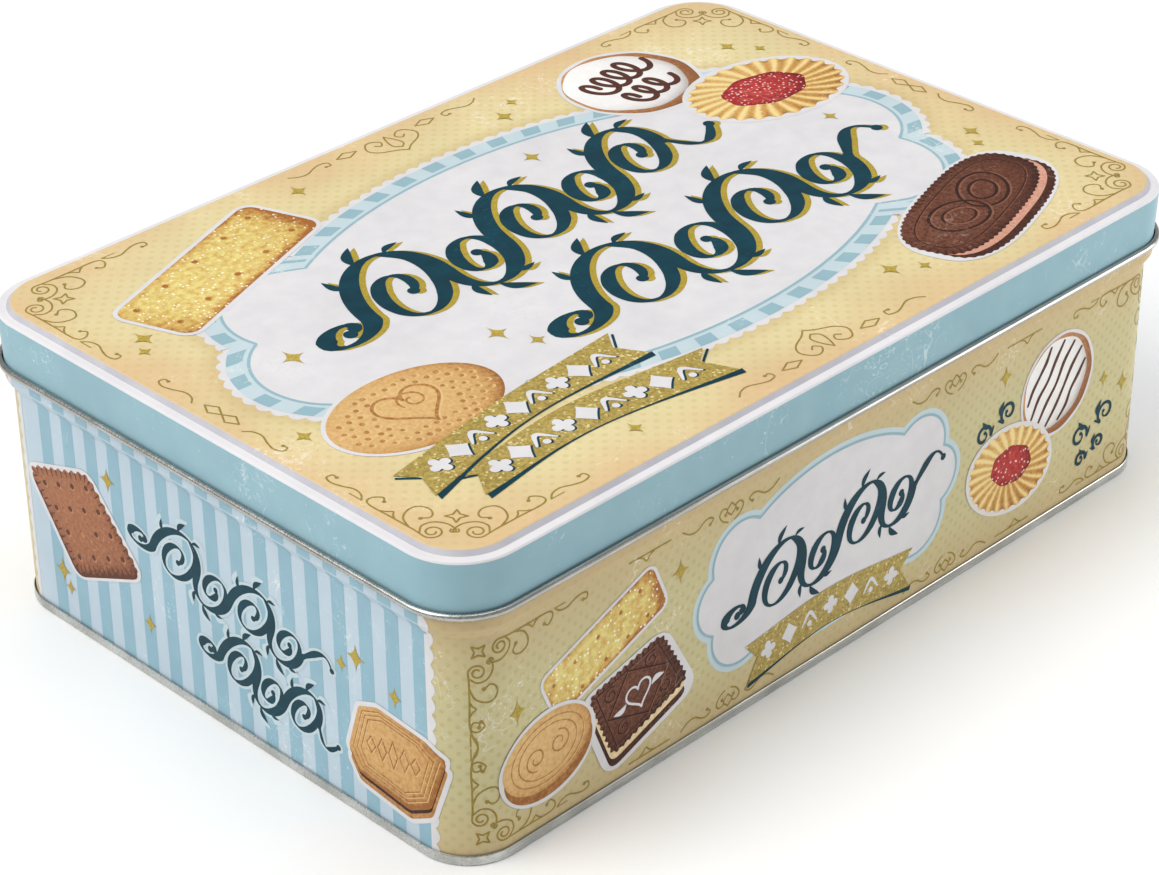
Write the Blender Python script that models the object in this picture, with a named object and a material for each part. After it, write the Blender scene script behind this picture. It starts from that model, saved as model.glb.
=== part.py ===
"""Rectangular biscuit tin with a lift-off lid: three pieces of formed tinplate.

Metres, +Z up. X runs along the long side, the front long side faces -Y, and the tin stands on
z = 0 with its middle over the origin.
"""
import math

import bmesh
import bpy

# Driving dimensions (m)
LENGTH = 0.230            # over the lid's rolled edge
DEPTH = 0.155
HEIGHT = 0.075
CORNER = 0.014            # plan radius of the lid's skirt
SHEET = 0.00025           # tinplate gauge
GAP = 0.0003              # clearance between two pieces of sheet

ROLL_REACH = 0.0014       # how far the lid's rolled edge stands out past the skirt
ROLL_RADIUS = (ROLL_REACH + SHEET) / 2
ROLL_END = 465            # degrees; the curl stops just short of the skirt, which it faces
SKIRT_FLARE = 0.00035     # the skirt is this much wider at its top edge
LID_DROP = 0.01425        # from the printed panel down to the underside of the rolled edge
LEDGE_DROP = 0.0011       # the lid's ledge lies this far under the printed panel
LEDGE_WIDTH = 0.0016
LEDGE_SLOPE = 0.0011

NECK_INSET = 0.0008       # outer faces of the body wall, measured in from the lid's skirt
BEAD_INSET = -0.0001
WALL_INSET = 0.0016
BEAD_HEIGHT = 0.0026
BEAD_SLOPE = 0.0026
TOP_CURL_RADIUS = 0.0009
TOP_CURL_END = 285        # degrees; the wall's upper edge curls inwards and stops short of the neck

SEAM_HEIGHT = 0.0024      # rim where the base is folded over the foot of the wall
PANEL_LIFT = 0.0032       # underside of the base panel above the ground
STEP_INSET = 0.005        # the base panel's stiffening step, in from the rim
STEP_RISE = 0.0008
RIDGE_WIDTH = 0.005       # locked side seam, inside the middle of the back wall
RIDGE_DEPTH = 0.0006

ARC_STEPS = 8             # facets in each plan corner

SKIRT_X = LENGTH / 2 - ROLL_REACH
SKIRT_Y = DEPTH / 2 - ROLL_REACH
LID_FOOT = HEIGHT - LID_DROP
BEAD_TOP = LID_FOOT - GAP


def plan_ring(mesh, inset, height):
    """One rounded rectangle of vertices, `inset` in from the lid's skirt."""
    radius = CORNER - inset
    centre_x = SKIRT_X - CORNER
    centre_y = SKIRT_Y - CORNER
    ring = []
    for quarter, (side_x, side_y) in enumerate(((1, 1), (-1, 1), (-1, -1), (1, -1))):
        for step in range(ARC_STEPS + 1):
            angle = math.pi / 2 * (quarter + step / ARC_STEPS)
            x = side_x * centre_x + radius * math.cos(angle)
            y = side_y * centre_y + radius * math.sin(angle)
            ring.append(mesh.verts.new((x, y, height)))
    return ring


def bridge(mesh, lower, upper):
    """Quads between two rings of equal length."""
    count = len(lower)
    for i in range(count):
        j = (i + 1) % count
        mesh.faces.new((lower[i], lower[j], upper[j], upper[i]))


def arc(inset, height, radius, start, end, steps):
    """Profile points round a circle, degrees; 0 points outwards and 90 up."""
    points = []
    for step in range(steps + 1):
        angle = math.radians(start + (end - start) * step / steps)
        points.append((inset - radius * math.cos(angle), height + radius * math.sin(angle)))
    return points


def sweep(profile, closed):
    """Sheet swept round the plan: a closed band, or a tray capped at both ends of the profile."""
    mesh = bmesh.new()
    rings = [plan_ring(mesh, inset, height) for inset, height in profile]
    for lower, upper in zip(rings, rings[1:]):
        bridge(mesh, lower, upper)
    if closed:
        bridge(mesh, rings[-1], rings[0])
    else:
        mesh.faces.new(rings[0])
        mesh.faces.new(rings[-1])
    bmesh.ops.recalc_face_normals(mesh, faces=mesh.faces)
    return mesh


def metal(name, colour, roughness, metallic):
    """Plain Principled material."""
    material = bpy.data.materials.new(name)
    material.use_nodes = True
    shader = material.node_tree.nodes["Principled BSDF"]
    shader.inputs["Base Color"].default_value = (*colour, 1.0)
    shader.inputs["Roughness"].default_value = roughness
    shader.inputs["Metallic"].default_value = metallic
    return material


def add_part(name, mesh, material):
    """Turn a bmesh into a named object."""
    data = bpy.data.meshes.new(name)
    mesh.to_mesh(data)
    mesh.free()
    data.materials.append(material)
    data.shade_smooth()
    data.set_sharp_from_angle(angle=math.radians(35))
    part = bpy.data.objects.new(name, data)
    bpy.context.scene.collection.objects.link(part)
    return part


def lid_profile():
    """Top face out to the skirt, down and round the rolled edge, and back along the inside."""
    top = HEIGHT
    ledge = HEIGHT - LEDGE_DROP
    slope_end = LEDGE_WIDTH + LEDGE_SLOPE
    edge = -SKIRT_FLARE
    roll_inset = SHEET - ROLL_RADIUS
    roll_height = LID_FOOT + ROLL_RADIUS
    outside = [(slope_end, top), (LEDGE_WIDTH, ledge), (edge + SHEET, ledge), (edge, ledge - SHEET)]
    outside.append((0.0, roll_height + ROLL_RADIUS))
    # The sheet rolls outwards round an open curl, so its printed side ends up inside the roll.
    inner_roll = arc(roll_inset, roll_height, ROLL_RADIUS - SHEET, 180, ROLL_END, 10)
    outer_roll = arc(roll_inset, roll_height, ROLL_RADIUS, ROLL_END, 180, 12)
    inside = [(edge + SHEET, ledge - SHEET), (LEDGE_WIDTH + SHEET / 2, ledge - SHEET)]
    inside.append((slope_end + SHEET / 2, top - SHEET))
    return outside + inner_roll + outer_roll + inside


def build_lid(material):
    """Pressed lid: raised printed panel, ledge, skirt and rolled edge."""
    return add_part("lid", sweep(lid_profile(), closed=False), material)


def body_profile():
    """Closed section of the body wall, from its foot up the outside and down the inside."""
    foot = SHEET + GAP
    bead_foot = BEAD_TOP - BEAD_HEIGHT
    wall_top = bead_foot - BEAD_SLOPE
    curl_height = HEIGHT - LEDGE_DROP - SHEET - GAP - TOP_CURL_RADIUS
    curl_inset = NECK_INSET + TOP_CURL_RADIUS
    outside = [
        (WALL_INSET, foot),
        (WALL_INSET, wall_top),
        (BEAD_INSET, bead_foot),
        (BEAD_INSET, BEAD_TOP - SHEET),
        (BEAD_INSET + SHEET, BEAD_TOP),
        (NECK_INSET, BEAD_TOP),
    ]
    outer_curl = arc(curl_inset, curl_height, TOP_CURL_RADIUS, 0, TOP_CURL_END, 12)
    inner_curl = arc(curl_inset, curl_height, TOP_CURL_RADIUS - SHEET, TOP_CURL_END, 0, 10)
    inside = [
        (NECK_INSET + SHEET, BEAD_TOP - SHEET),
        (BEAD_INSET + SHEET, BEAD_TOP - 2 * SHEET),
        (BEAD_INSET + SHEET, bead_foot),
        (WALL_INSET + SHEET, wall_top),
        (WALL_INSET + SHEET, foot),
    ]
    return outside + outer_curl + inner_curl + inside


def side_seam():
    """Folded thickness of the locked side seam, as a cutter joined to the wall."""
    bottom = PANEL_LIFT + SHEET + STEP_RISE + GAP
    top = BEAD_TOP - BEAD_HEIGHT - BEAD_SLOPE
    wall_middle = SKIRT_Y - WALL_INSET - SHEET / 2
    mesh = bmesh.new()
    bmesh.ops.create_cube(mesh, size=1.0)
    reach = RIDGE_DEPTH + SHEET / 2
    bmesh.ops.scale(mesh, vec=(RIDGE_WIDTH, reach, top - bottom), verts=mesh.verts)
    bmesh.ops.translate(mesh, vec=(0, wall_middle - reach / 2, (top + bottom) / 2), verts=mesh.verts)
    return mesh


def build_body_wall(material):
    """Wrapped wall with its top curl, stop bead and side seam."""
    wall = add_part("body_wall", sweep(body_profile(), closed=True), material)
    ridge = add_part("side_seam_cutter", side_seam(), material)
    ridge.hide_render = True
    ridge.display_type = "WIRE"
    union = wall.modifiers.new("side seam", "BOOLEAN")
    union.operation = "UNION"
    union.solver = "EXACT"
    union.object = ridge
    return wall


def base_profile():
    """Base panel, its upright leg inside the wall and the rim folded up outside it."""
    panel_top = PANEL_LIFT + SHEET
    leg_outer = WALL_INSET + SHEET + GAP
    leg_inner = leg_outer + SHEET
    rim_inner = WALL_INSET - GAP
    rim_outer = rim_inner - SHEET
    step = leg_inner + STEP_INSET
    step_end = step + 2 * STEP_RISE
    top_face = [
        (step_end, panel_top + STEP_RISE),
        (step, panel_top),
        (leg_inner, panel_top),
        (leg_outer, panel_top - SHEET),
        (leg_outer, SHEET),
        (rim_inner, SHEET),
        (rim_inner, SEAM_HEIGHT),
    ]
    under_face = [
        (rim_outer + SHEET / 2, SEAM_HEIGHT + SHEET / 3),
        (rim_outer, SEAM_HEIGHT - SHEET / 2),
        (rim_outer, 2 * SHEET),
        (rim_outer + SHEET, 0.0),
        (leg_inner - SHEET, 0.0),
        (leg_inner, SHEET),
        (leg_inner, PANEL_LIFT - SHEET / 2),
        (leg_inner + SHEET / 2, PANEL_LIFT),
        (step, PANEL_LIFT),
        (step_end, PANEL_LIFT + STEP_RISE),
    ]
    return top_face + under_face


def build_base(material):
    """Stamped base held by the seam rim that the tin stands on."""
    return add_part("base", sweep(base_profile(), closed=False), material)


def main():
    for leftover in list(bpy.data.objects):
        bpy.data.objects.remove(leftover, do_unlink=True)
    printed_blue = metal("lid enamel, pale blue", (0.27, 0.42, 0.49), 0.35, 0.0)
    printed_cream = metal("wall enamel, cream", (0.72, 0.60, 0.38), 0.35, 0.0)
    bare_tin = metal("bare tinplate", (0.62, 0.63, 0.64), 0.3, 1.0)
    build_lid(printed_blue)
    build_body_wall(printed_cream)
    build_base(bare_tin)


main()
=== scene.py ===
"""Rectangular biscuit tin with a lift-off lid, in printed and varnished tinplate.

Sizes are in millimetres unless a name says otherwise, and turned to metres as each mesh is made.
X runs along the long side, the front long side faces -Y, and the tin stands on z = 0.
"""
import math
import random

import bmesh
import bpy
from mathutils import Matrix, Vector


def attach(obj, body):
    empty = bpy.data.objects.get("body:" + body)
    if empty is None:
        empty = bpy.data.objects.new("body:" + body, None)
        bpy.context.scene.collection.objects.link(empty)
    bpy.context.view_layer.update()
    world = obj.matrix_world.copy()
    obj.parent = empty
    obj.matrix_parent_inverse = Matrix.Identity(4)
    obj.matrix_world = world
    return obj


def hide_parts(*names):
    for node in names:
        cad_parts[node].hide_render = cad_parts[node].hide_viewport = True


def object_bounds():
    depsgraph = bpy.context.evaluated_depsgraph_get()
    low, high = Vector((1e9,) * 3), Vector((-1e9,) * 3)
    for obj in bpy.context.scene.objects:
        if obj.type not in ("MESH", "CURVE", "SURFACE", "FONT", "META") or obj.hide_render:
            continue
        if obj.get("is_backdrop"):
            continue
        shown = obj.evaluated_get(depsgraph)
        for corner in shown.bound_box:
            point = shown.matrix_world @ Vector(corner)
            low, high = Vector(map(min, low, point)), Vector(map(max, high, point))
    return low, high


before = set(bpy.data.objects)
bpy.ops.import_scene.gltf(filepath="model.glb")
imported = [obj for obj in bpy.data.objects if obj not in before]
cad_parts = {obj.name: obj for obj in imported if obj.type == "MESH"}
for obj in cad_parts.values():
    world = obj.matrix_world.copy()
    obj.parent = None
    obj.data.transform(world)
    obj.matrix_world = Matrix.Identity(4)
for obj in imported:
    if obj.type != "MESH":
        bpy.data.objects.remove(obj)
cad_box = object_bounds()

# ------------------------------------------------------------------ base
# The base is a stamped tray of bare tinplate. Its edge is folded up over the foot of the wall, and
# the tin stands on that folded rim; a shallow step stiffens the panel.
MM = 0.001
SHEET = 0.25
CORNER = 14.0                # plan radius of the lid's skirt, which every inset is measured from
FLAT_X = 99.6                # half length of the straight part of each wall
FLAT_Y = 62.1
WALL_INSET = 1.6
CORNER_RUN = (CORNER - WALL_INSET) * math.pi / 2
AROUND = 4 * (FLAT_X + FLAT_Y + CORNER_RUN)


def wall_spot(run, inset):
    """Plan position a distance `run` round the tin from the middle of the front, anticlockwise."""
    radius = CORNER - inset
    run = (run + FLAT_X) % AROUND
    for turn in range(4):
        side = 2 * (FLAT_X, FLAT_Y)[turn % 2]
        ahead = Vector((math.cos(turn * math.pi / 2), math.sin(turn * math.pi / 2)))
        out = Vector((ahead.y, -ahead.x))
        bend_centre = Vector((FLAT_X if turn < 2 else -FLAT_X, FLAT_Y if turn in (1, 2) else -FLAT_Y))
        if run <= side:
            return bend_centre + out * radius - ahead * (side - run)
        run -= side
        if run <= CORNER_RUN or turn == 3:
            angle = min(run / CORNER_RUN, 1.0) * math.pi / 2
            return bend_centre + radius * (out * math.cos(angle) + ahead * math.sin(angle))
        run -= CORNER_RUN


def stations():
    """Distances round the tin at which its sheet is divided, starting at the middle of the back."""
    marks = [-AROUND / 2]
    for half, pieces in ((FLAT_X, 12), (0, 22), (FLAT_Y * 2, 14), (0, 22), (FLAT_X, 12)):
        length = half or CORNER_RUN
        marks += [marks[-1] + length * (i + 1) / pieces for i in range(pieces)]
    return marks + [-mark for mark in reversed(marks[1:-1])]


def bend(points):
    """A sheet's section from (inset, height, fold radius) points, with each fold rounded."""
    section = []
    for i, (inset, height, radius) in enumerate(points):
        fold = Vector((inset, height))
        if radius == 0:
            section.append(fold)
            continue
        back = Vector(points[i - 1][:2]) - fold
        onward = Vector(points[i + 1][:2]) - fold
        reach = radius / math.tan(back.angle(onward) / 2)
        start = fold + back.normalized() * min(reach, back.length * 0.48)
        end = fold + onward.normalized() * min(reach, onward.length * 0.48)
        for t in (0.0, 0.25, 0.5, 0.75, 1.0):
            section.append(start.lerp(fold, t).lerp(fold.lerp(end, t), t))
    return section


def joined(name, mesh, finishes, sharp=40):
    """Turn a mesh in metres into a piece, with edges over `sharp` degrees kept crisp."""
    data = bpy.data.meshes.new(name)
    mesh.to_mesh(data)
    mesh.free()
    for finish in finishes:
        data.materials.append(finish)
    data.shade_smooth()
    data.set_sharp_from_angle(angle=math.radians(sharp))
    piece = bpy.data.objects.new(name, data)
    bpy.context.scene.collection.objects.link(piece)
    return piece


def sweep(name, strips, tray, finishes):
    """Sheet swept round the plan from strips of (finish number, section points)."""
    mesh = bmesh.new()
    chart = mesh.loops.layers.uv.new("print")
    marks = stations()
    count = len(marks)
    rings = []
    for finish, section in strips:
        for inset, height in section:
            spots = [wall_spot(run, inset) for run in marks]
            ring = [mesh.verts.new((spot.x * MM, spot.y * MM, height * MM)) for spot in spots]
            rings.append((finish, height, ring))
    pairs = list(zip(rings, rings[1:]))
    if not tray:
        pairs.append((rings[-1], rings[0]))
    for (finish, low, lower), (_, high, upper) in pairs:
        for i in range(count):
            j = (i + 1) % count
            face = mesh.faces.new((lower[i], lower[j], upper[j], upper[i]))
            face.material_index = finish
            runs = (marks[i], marks[i + 1] if j else AROUND / 2)
            corners = ((runs[0], low), (runs[1], low), (runs[1], high), (runs[0], high))
            for loop, (run, height) in zip(face.loops, corners):
                loop[chart].uv = (run * MM, height * MM)
    if tray:
        for finish, height, ring in (rings[0], rings[-1]):
            mesh.faces.new(ring).material_index = finish
    bmesh.ops.recalc_face_normals(mesh, faces=mesh.faces)
    return joined(name, mesh, finishes)


def shade(code):
    """An sRGB hex colour as linear red, green, blue and alpha."""
    channels = [int(code[i:i + 2], 16) / 255 for i in (1, 3, 5)]
    return [c / 12.92 if c <= 0.04045 else ((c + 0.055) / 1.055) ** 2.4 for c in channels] + [1.0]


def add(tree, kind, inputs=None, **settings):
    """Add one node, with its settings, and its inputs as values or as links."""
    node = tree.nodes.new(kind)
    for name, value in settings.items():
        setattr(node, name, value)
    for name, value in (inputs or {}).items():
        if isinstance(value, bpy.types.NodeSocket):
            tree.links.new(value, node.inputs[name])
        else:
            node.inputs[name].default_value = value
    return node


def new_finish(name, **sockets):
    """A material with these values on its shader, where _ stands for a space."""
    material = bpy.data.materials.new(name)
    material.use_nodes = True
    shader = material.node_tree.nodes["Principled BSDF"]
    for socket, value in sockets.items():
        shader.inputs[socket.replace("_", " ")].default_value = value
    return material, material.node_tree, shader


def rolled_tinplate(name, colour, dark, roughness):
    """Bright cold-rolled tinplate: silver-grey with faint rolling lines and a soft mottle."""
    material, tree, shader = new_finish(name, Metallic=1.0, Roughness=roughness)
    place = add(tree, "ShaderNodeTexCoord").outputs["Object"]
    # Rolling lines about 0.4 mm apart and 30 mm long, and a mottle about 9 mm across.
    along = add(tree, "ShaderNodeMapping", {"Vector": place, "Scale": (33, 2500, 2500)})
    lines = add(tree, "ShaderNodeTexNoise", {"Vector": along.outputs[0], "Scale": 1.0, "Detail": 3.0})
    mottle = add(tree, "ShaderNodeTexNoise", {"Vector": place, "Scale": 110.0, "Detail": 4.0})
    blend = add(tree, "ShaderNodeMath", {0: lines.outputs["Fac"], 1: mottle.outputs["Fac"]},
                operation="MULTIPLY")
    amount = add(tree, "ShaderNodeMapRange", {"Value": blend.outputs[0], 1: 0.12, 2: 0.42})
    silver = add(tree, "ShaderNodeMix", {"Factor": amount.outputs[0], 6: shade(dark), 7: shade(colour)},
                 data_type="RGBA")
    tree.links.new(silver.outputs[2], shader.inputs["Base Color"])
    rough = add(tree, "ShaderNodeMapRange", {"Value": lines.outputs["Fac"], 1: 0.3, 2: 0.7,
                                             3: roughness - 0.06, 4: roughness + 0.08})
    tree.links.new(rough.outputs[0], shader.inputs["Roughness"])
    bump = add(tree, "ShaderNodeBump", {"Height": lines.outputs["Fac"], "Strength": 0.25,
                                        "Distance": 0.00003})
    tree.links.new(bump.outputs[0], shader.inputs["Normal"])
    return material


base_tinplate = rolled_tinplate("base tinplate, rolled bright", "#d6d7d4", "#aaaba6", 0.3)
base_section = bend([
    (13.0, 4.25, 0), (8.6, 4.25, 0.8), (7.6, 3.45, 0.8), (2.4, 3.45, 0.1), (2.15, 3.2, 0.1),
    (2.15, 0.25, 0.05), (1.3, 0.25, 0.05), (1.3, 2.4, 0.05), (1.17, 2.5, 0.05), (1.05, 2.28, 0.1),
    (1.05, 0.0, 0.45), (2.4, 0.0, 0.4), (2.4, 3.2, 0.5), (7.6, 3.2, 0.8), (8.6, 4.0, 0.8), (13.0, 4.0, 0),
])
base = sweep("base_tray", [(0, base_section)], True, [base_tinplate])
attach(base, "tin_body")
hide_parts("base")

# ------------------------------------------------------------------ body wall
# The wall is one printed sheet, wrapped round with a locked seam in the middle of the back. It is
# swelled out into a bead that the lid stops on, and its bare upper edge is curled inwards.
BEAD_FOOT = 57.85
BEAD_TOP = 60.45
SLOPE_FOOT = 55.25
SIDE_MIDDLE = FLAT_X + CORNER_RUN + FLAT_Y      # round the tin, from the front to a short side
SIDE_EDGE = 64.8                                # half width of a short side's own print


def curl(inset, height, radius, start, end, steps):
    """Section points round a circle, in degrees; 0 points outwards and 90 up."""
    angles = [math.radians(start + (end - start) * i / steps) for i in range(steps + 1)]
    return [Vector((inset - radius * math.cos(a), height + radius * math.sin(a))) for a in angles]


def varnish(tree, shader, colour, wear, wear_colour):
    """Worn offset print under clear varnish: pale hairline scratches and specks over the ink."""
    place = add(tree, "ShaderNodeTexCoord").outputs["Object"]
    # Specks of about 0.9 mm that gather in patches of about 25 mm.
    specks = add(tree, "ShaderNodeTexNoise", {"Vector": place, "Scale": 900.0, "Detail": 3.0,
                                              "Roughness": 0.7})
    patches = add(tree, "ShaderNodeTexNoise", {"Vector": place, "Scale": 42.0, "Detail": 5.0,
                                               "Roughness": 0.65})
    gathered = add(tree, "ShaderNodeMath", {0: patches.outputs["Fac"], 1: specks.outputs["Fac"]})
    speck = add(tree, "ShaderNodeMapRange", {"Value": gathered.outputs[0], 1: 1.18, 2: 1.3})
    # Hairlines about 0.15 mm wide where two slow folds of a noise cross their middle value.
    drift = add(tree, "ShaderNodeTexNoise", {"Vector": place, "Scale": 55.0, "Detail": 2.0,
                                             "Distortion": 1.2})
    middle = add(tree, "ShaderNodeMath", {0: drift.outputs["Fac"], 1: 0.5}, operation="SUBTRACT")
    ridge = add(tree, "ShaderNodeMath", {0: middle.outputs[0]}, operation="ABSOLUTE")
    hairline = add(tree, "ShaderNodeMapRange", {"Value": ridge.outputs[0], 1: 0.0035, 2: 0.001})
    broken = add(tree, "ShaderNodeMapRange", {"Value": patches.outputs["Fac"], 1: 0.53, 2: 0.6})
    line = add(tree, "ShaderNodeMath", {0: hairline.outputs[0], 1: broken.outputs[0]}, operation="MULTIPLY")
    both = add(tree, "ShaderNodeMath", {0: speck.outputs[0], 1: line.outputs[0]}, operation="MAXIMUM")
    amount = add(tree, "ShaderNodeMath", {0: both.outputs[0], 1: wear}, operation="MULTIPLY")
    cloudy = add(tree, "ShaderNodeMapRange", {"Value": patches.outputs["Fac"], 1: 0.25, 2: 0.75, 3: 0.93,
                                              4: 1.05})
    toned = add(tree, "ShaderNodeMix", {"Factor": 1.0, 6: colour, 7: cloudy.outputs[0]},
                data_type="RGBA", blend_type="MULTIPLY")
    worn = add(tree, "ShaderNodeMix", {"Factor": amount.outputs[0], 6: toned.outputs[2],
                                       7: shade(wear_colour)},
               data_type="RGBA")
    tree.links.new(worn.outputs[2], shader.inputs["Base Color"])
    rough = add(tree, "ShaderNodeMapRange", {"Value": patches.outputs["Fac"], 1: 0.3, 2: 0.7, 3: 0.36,
                                             4: 0.5})
    tree.links.new(rough.outputs[0], shader.inputs["Roughness"])
    bump = add(tree, "ShaderNodeBump", {"Height": both.outputs[0], "Strength": 0.3, "Distance": 0.00002},
               invert=True)
    tree.links.new(bump.outputs[0], shader.inputs["Normal"])


def polka(tree, flat_place, pitch_mm, reach):
    """1 inside each dot of a staggered grid `pitch_mm` apart, and 0 between."""
    turned = add(tree, "ShaderNodeMapping", {"Vector": flat_place, "Rotation": (0, 0, math.pi / 4),
                                             "Scale": (1000 / pitch_mm, 1000 / pitch_mm, 0)})
    cell = add(tree, "ShaderNodeVectorMath", {0: turned.outputs[0]}, operation="FRACTION")
    middle = add(tree, "ShaderNodeVectorMath", {0: cell.outputs[0], 1: (0.5, 0.5, 0)}, operation="SUBTRACT")
    away = add(tree, "ShaderNodeVectorMath", {0: middle.outputs[0]}, operation="LENGTH")
    return add(tree, "ShaderNodeMapRange", {"Value": away.outputs["Value"], 1: reach + 0.05, 2: reach - 0.05})


def printed_wall():
    """Printed sheet of the wall: cream with polka dots round the long sides, pale blue on the short
    ones, a little peach towards the top and the foot."""
    material, tree, shader = new_finish("wall print, offset inks on tinplate", Specular_IOR_Level=0.16)
    chart = add(tree, "ShaderNodeUVMap", uv_map="print").outputs[0]
    parts = add(tree, "ShaderNodeSeparateXYZ", {0: chart})
    dots = polka(tree, chart, 2.3, 0.24)
    cream = add(tree, "ShaderNodeMix", {"Factor": dots.outputs[0], 6: shade("#c8bf92"), 7: shade("#c0b484")},
                data_type="RGBA")
    centred = add(tree, "ShaderNodeMath", {0: parts.outputs["Y"], 1: 0.029}, operation="SUBTRACT")
    height = add(tree, "ShaderNodeMath", {0: centred.outputs[0]}, operation="ABSOLUTE")
    edge = add(tree, "ShaderNodeMapRange", {"Value": height.outputs[0], 1: 0.012, 2: 0.032, 3: 0.0, 4: 0.7})
    warm = add(tree, "ShaderNodeMix", {"Factor": edge.outputs[0], 6: cream.outputs[2], 7: shade("#c8aa80")},
               data_type="RGBA")
    run = add(tree, "ShaderNodeMath", {0: parts.outputs["X"]}, operation="ABSOLUTE")
    from_side = add(tree, "ShaderNodeMath", {0: run.outputs[0], 1: SIDE_MIDDLE * MM}, operation="SUBTRACT")
    across = add(tree, "ShaderNodeMath", {0: from_side.outputs[0]}, operation="ABSOLUTE")
    side = add(tree, "ShaderNodeMath", {0: across.outputs[0], 1: SIDE_EDGE * MM}, operation="LESS_THAN")
    inks = add(tree, "ShaderNodeMix", {"Factor": side.outputs[0], 6: warm.outputs[2], 7: shade("#bccdd8")},
               data_type="RGBA")
    varnish(tree, shader, inks.outputs[2], 0.55, "#f2ede0")
    return material


wall_print = printed_wall()
wall_tinplate = rolled_tinplate("wall tinplate, lacquered inside", "#cfcfca", "#b3b2ab", 0.3)
wall_outside = bend([
    (1.6, 0.55, 0), (1.6, 30.0, 0), (1.6, SLOPE_FOOT, 1.5), (-0.1, BEAD_FOOT, 1.0), (-0.1, BEAD_TOP, 0.3),
    (0.8, BEAD_TOP, 0.15), (0.8, 65.0, 0),
])
wall_curl = curl(1.7, 72.45, 0.9, 0, 285, 26) + curl(1.7, 72.45, 0.65, 285, 0, 22)
wall_inside = bend([
    (1.05, 65.0, 0), (1.05, 60.2, 0.15), (0.15, 60.2, 0.25), (0.15, BEAD_FOOT, 0.9),
    (1.85, SLOPE_FOOT, 1.3), (1.85, 30.0, 0), (1.85, 0.55, 0),
])
wall = sweep("wall_sheet", [(0, wall_outside), (1, wall_curl), (1, wall_inside)], False,
             [wall_print, wall_tinplate])
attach(wall, "tin_body")
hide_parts("body_wall")

# ------------------------------------------------------------------ side seam
# Where the wrapped sheet's two ends hook together, four thicknesses lie flat against the inside of
# the back wall, in the middle of its length, from just over the base up to the slope.


def seam_ridge():
    """Flattened hooks: a long pad with rounded long edges."""
    mesh = bmesh.new()
    wall_face = FLAT_Y + CORNER - WALL_INSET - SHEET
    section = [(-2.5, 0.02), (-2.4, -0.4), (-2.15, -0.58), (-1.6, -0.6), (1.6, -0.6), (2.15, -0.58),
               (2.4, -0.4), (2.5, 0.02)]
    levels = (4.9, 20.0, 38.0, 54.8)
    rings = [[mesh.verts.new((x * MM, (wall_face + y) * MM, z * MM)) for x, y in section] for z in levels]
    for low, high in zip(rings, rings[1:]):
        for i in range(len(section)):
            j = (i + 1) % len(section)
            mesh.faces.new((low[i], low[j], high[j], high[i]))
    mesh.faces.new(rings[0])
    mesh.faces.new(rings[-1])
    bmesh.ops.recalc_face_normals(mesh, faces=mesh.faces)
    return joined("side_seam", mesh, [wall_tinplate])


seam = seam_ridge()
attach(seam, "tin_body")

# ------------------------------------------------------------------ lid
# The lid is a single pressing: a raised printed panel, a white ledge round it, a blue skirt that
# flares slightly upwards, and a foot rolled outwards so that the bare silver underside shows.
PANEL_TOP = 75.0
PANEL_EDGE = 2.7                 # the printed panel ends this far in from the skirt
CLOUD_SHADE = 7                  # the shade round the cloud fades about this far outside it
CLOUD_SHAPES = ((0, 0, 81.0, 47.0), (67.0, 21.5, 17.5, 17.5), (76.0, 0, 18.5, 18.5))


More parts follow.
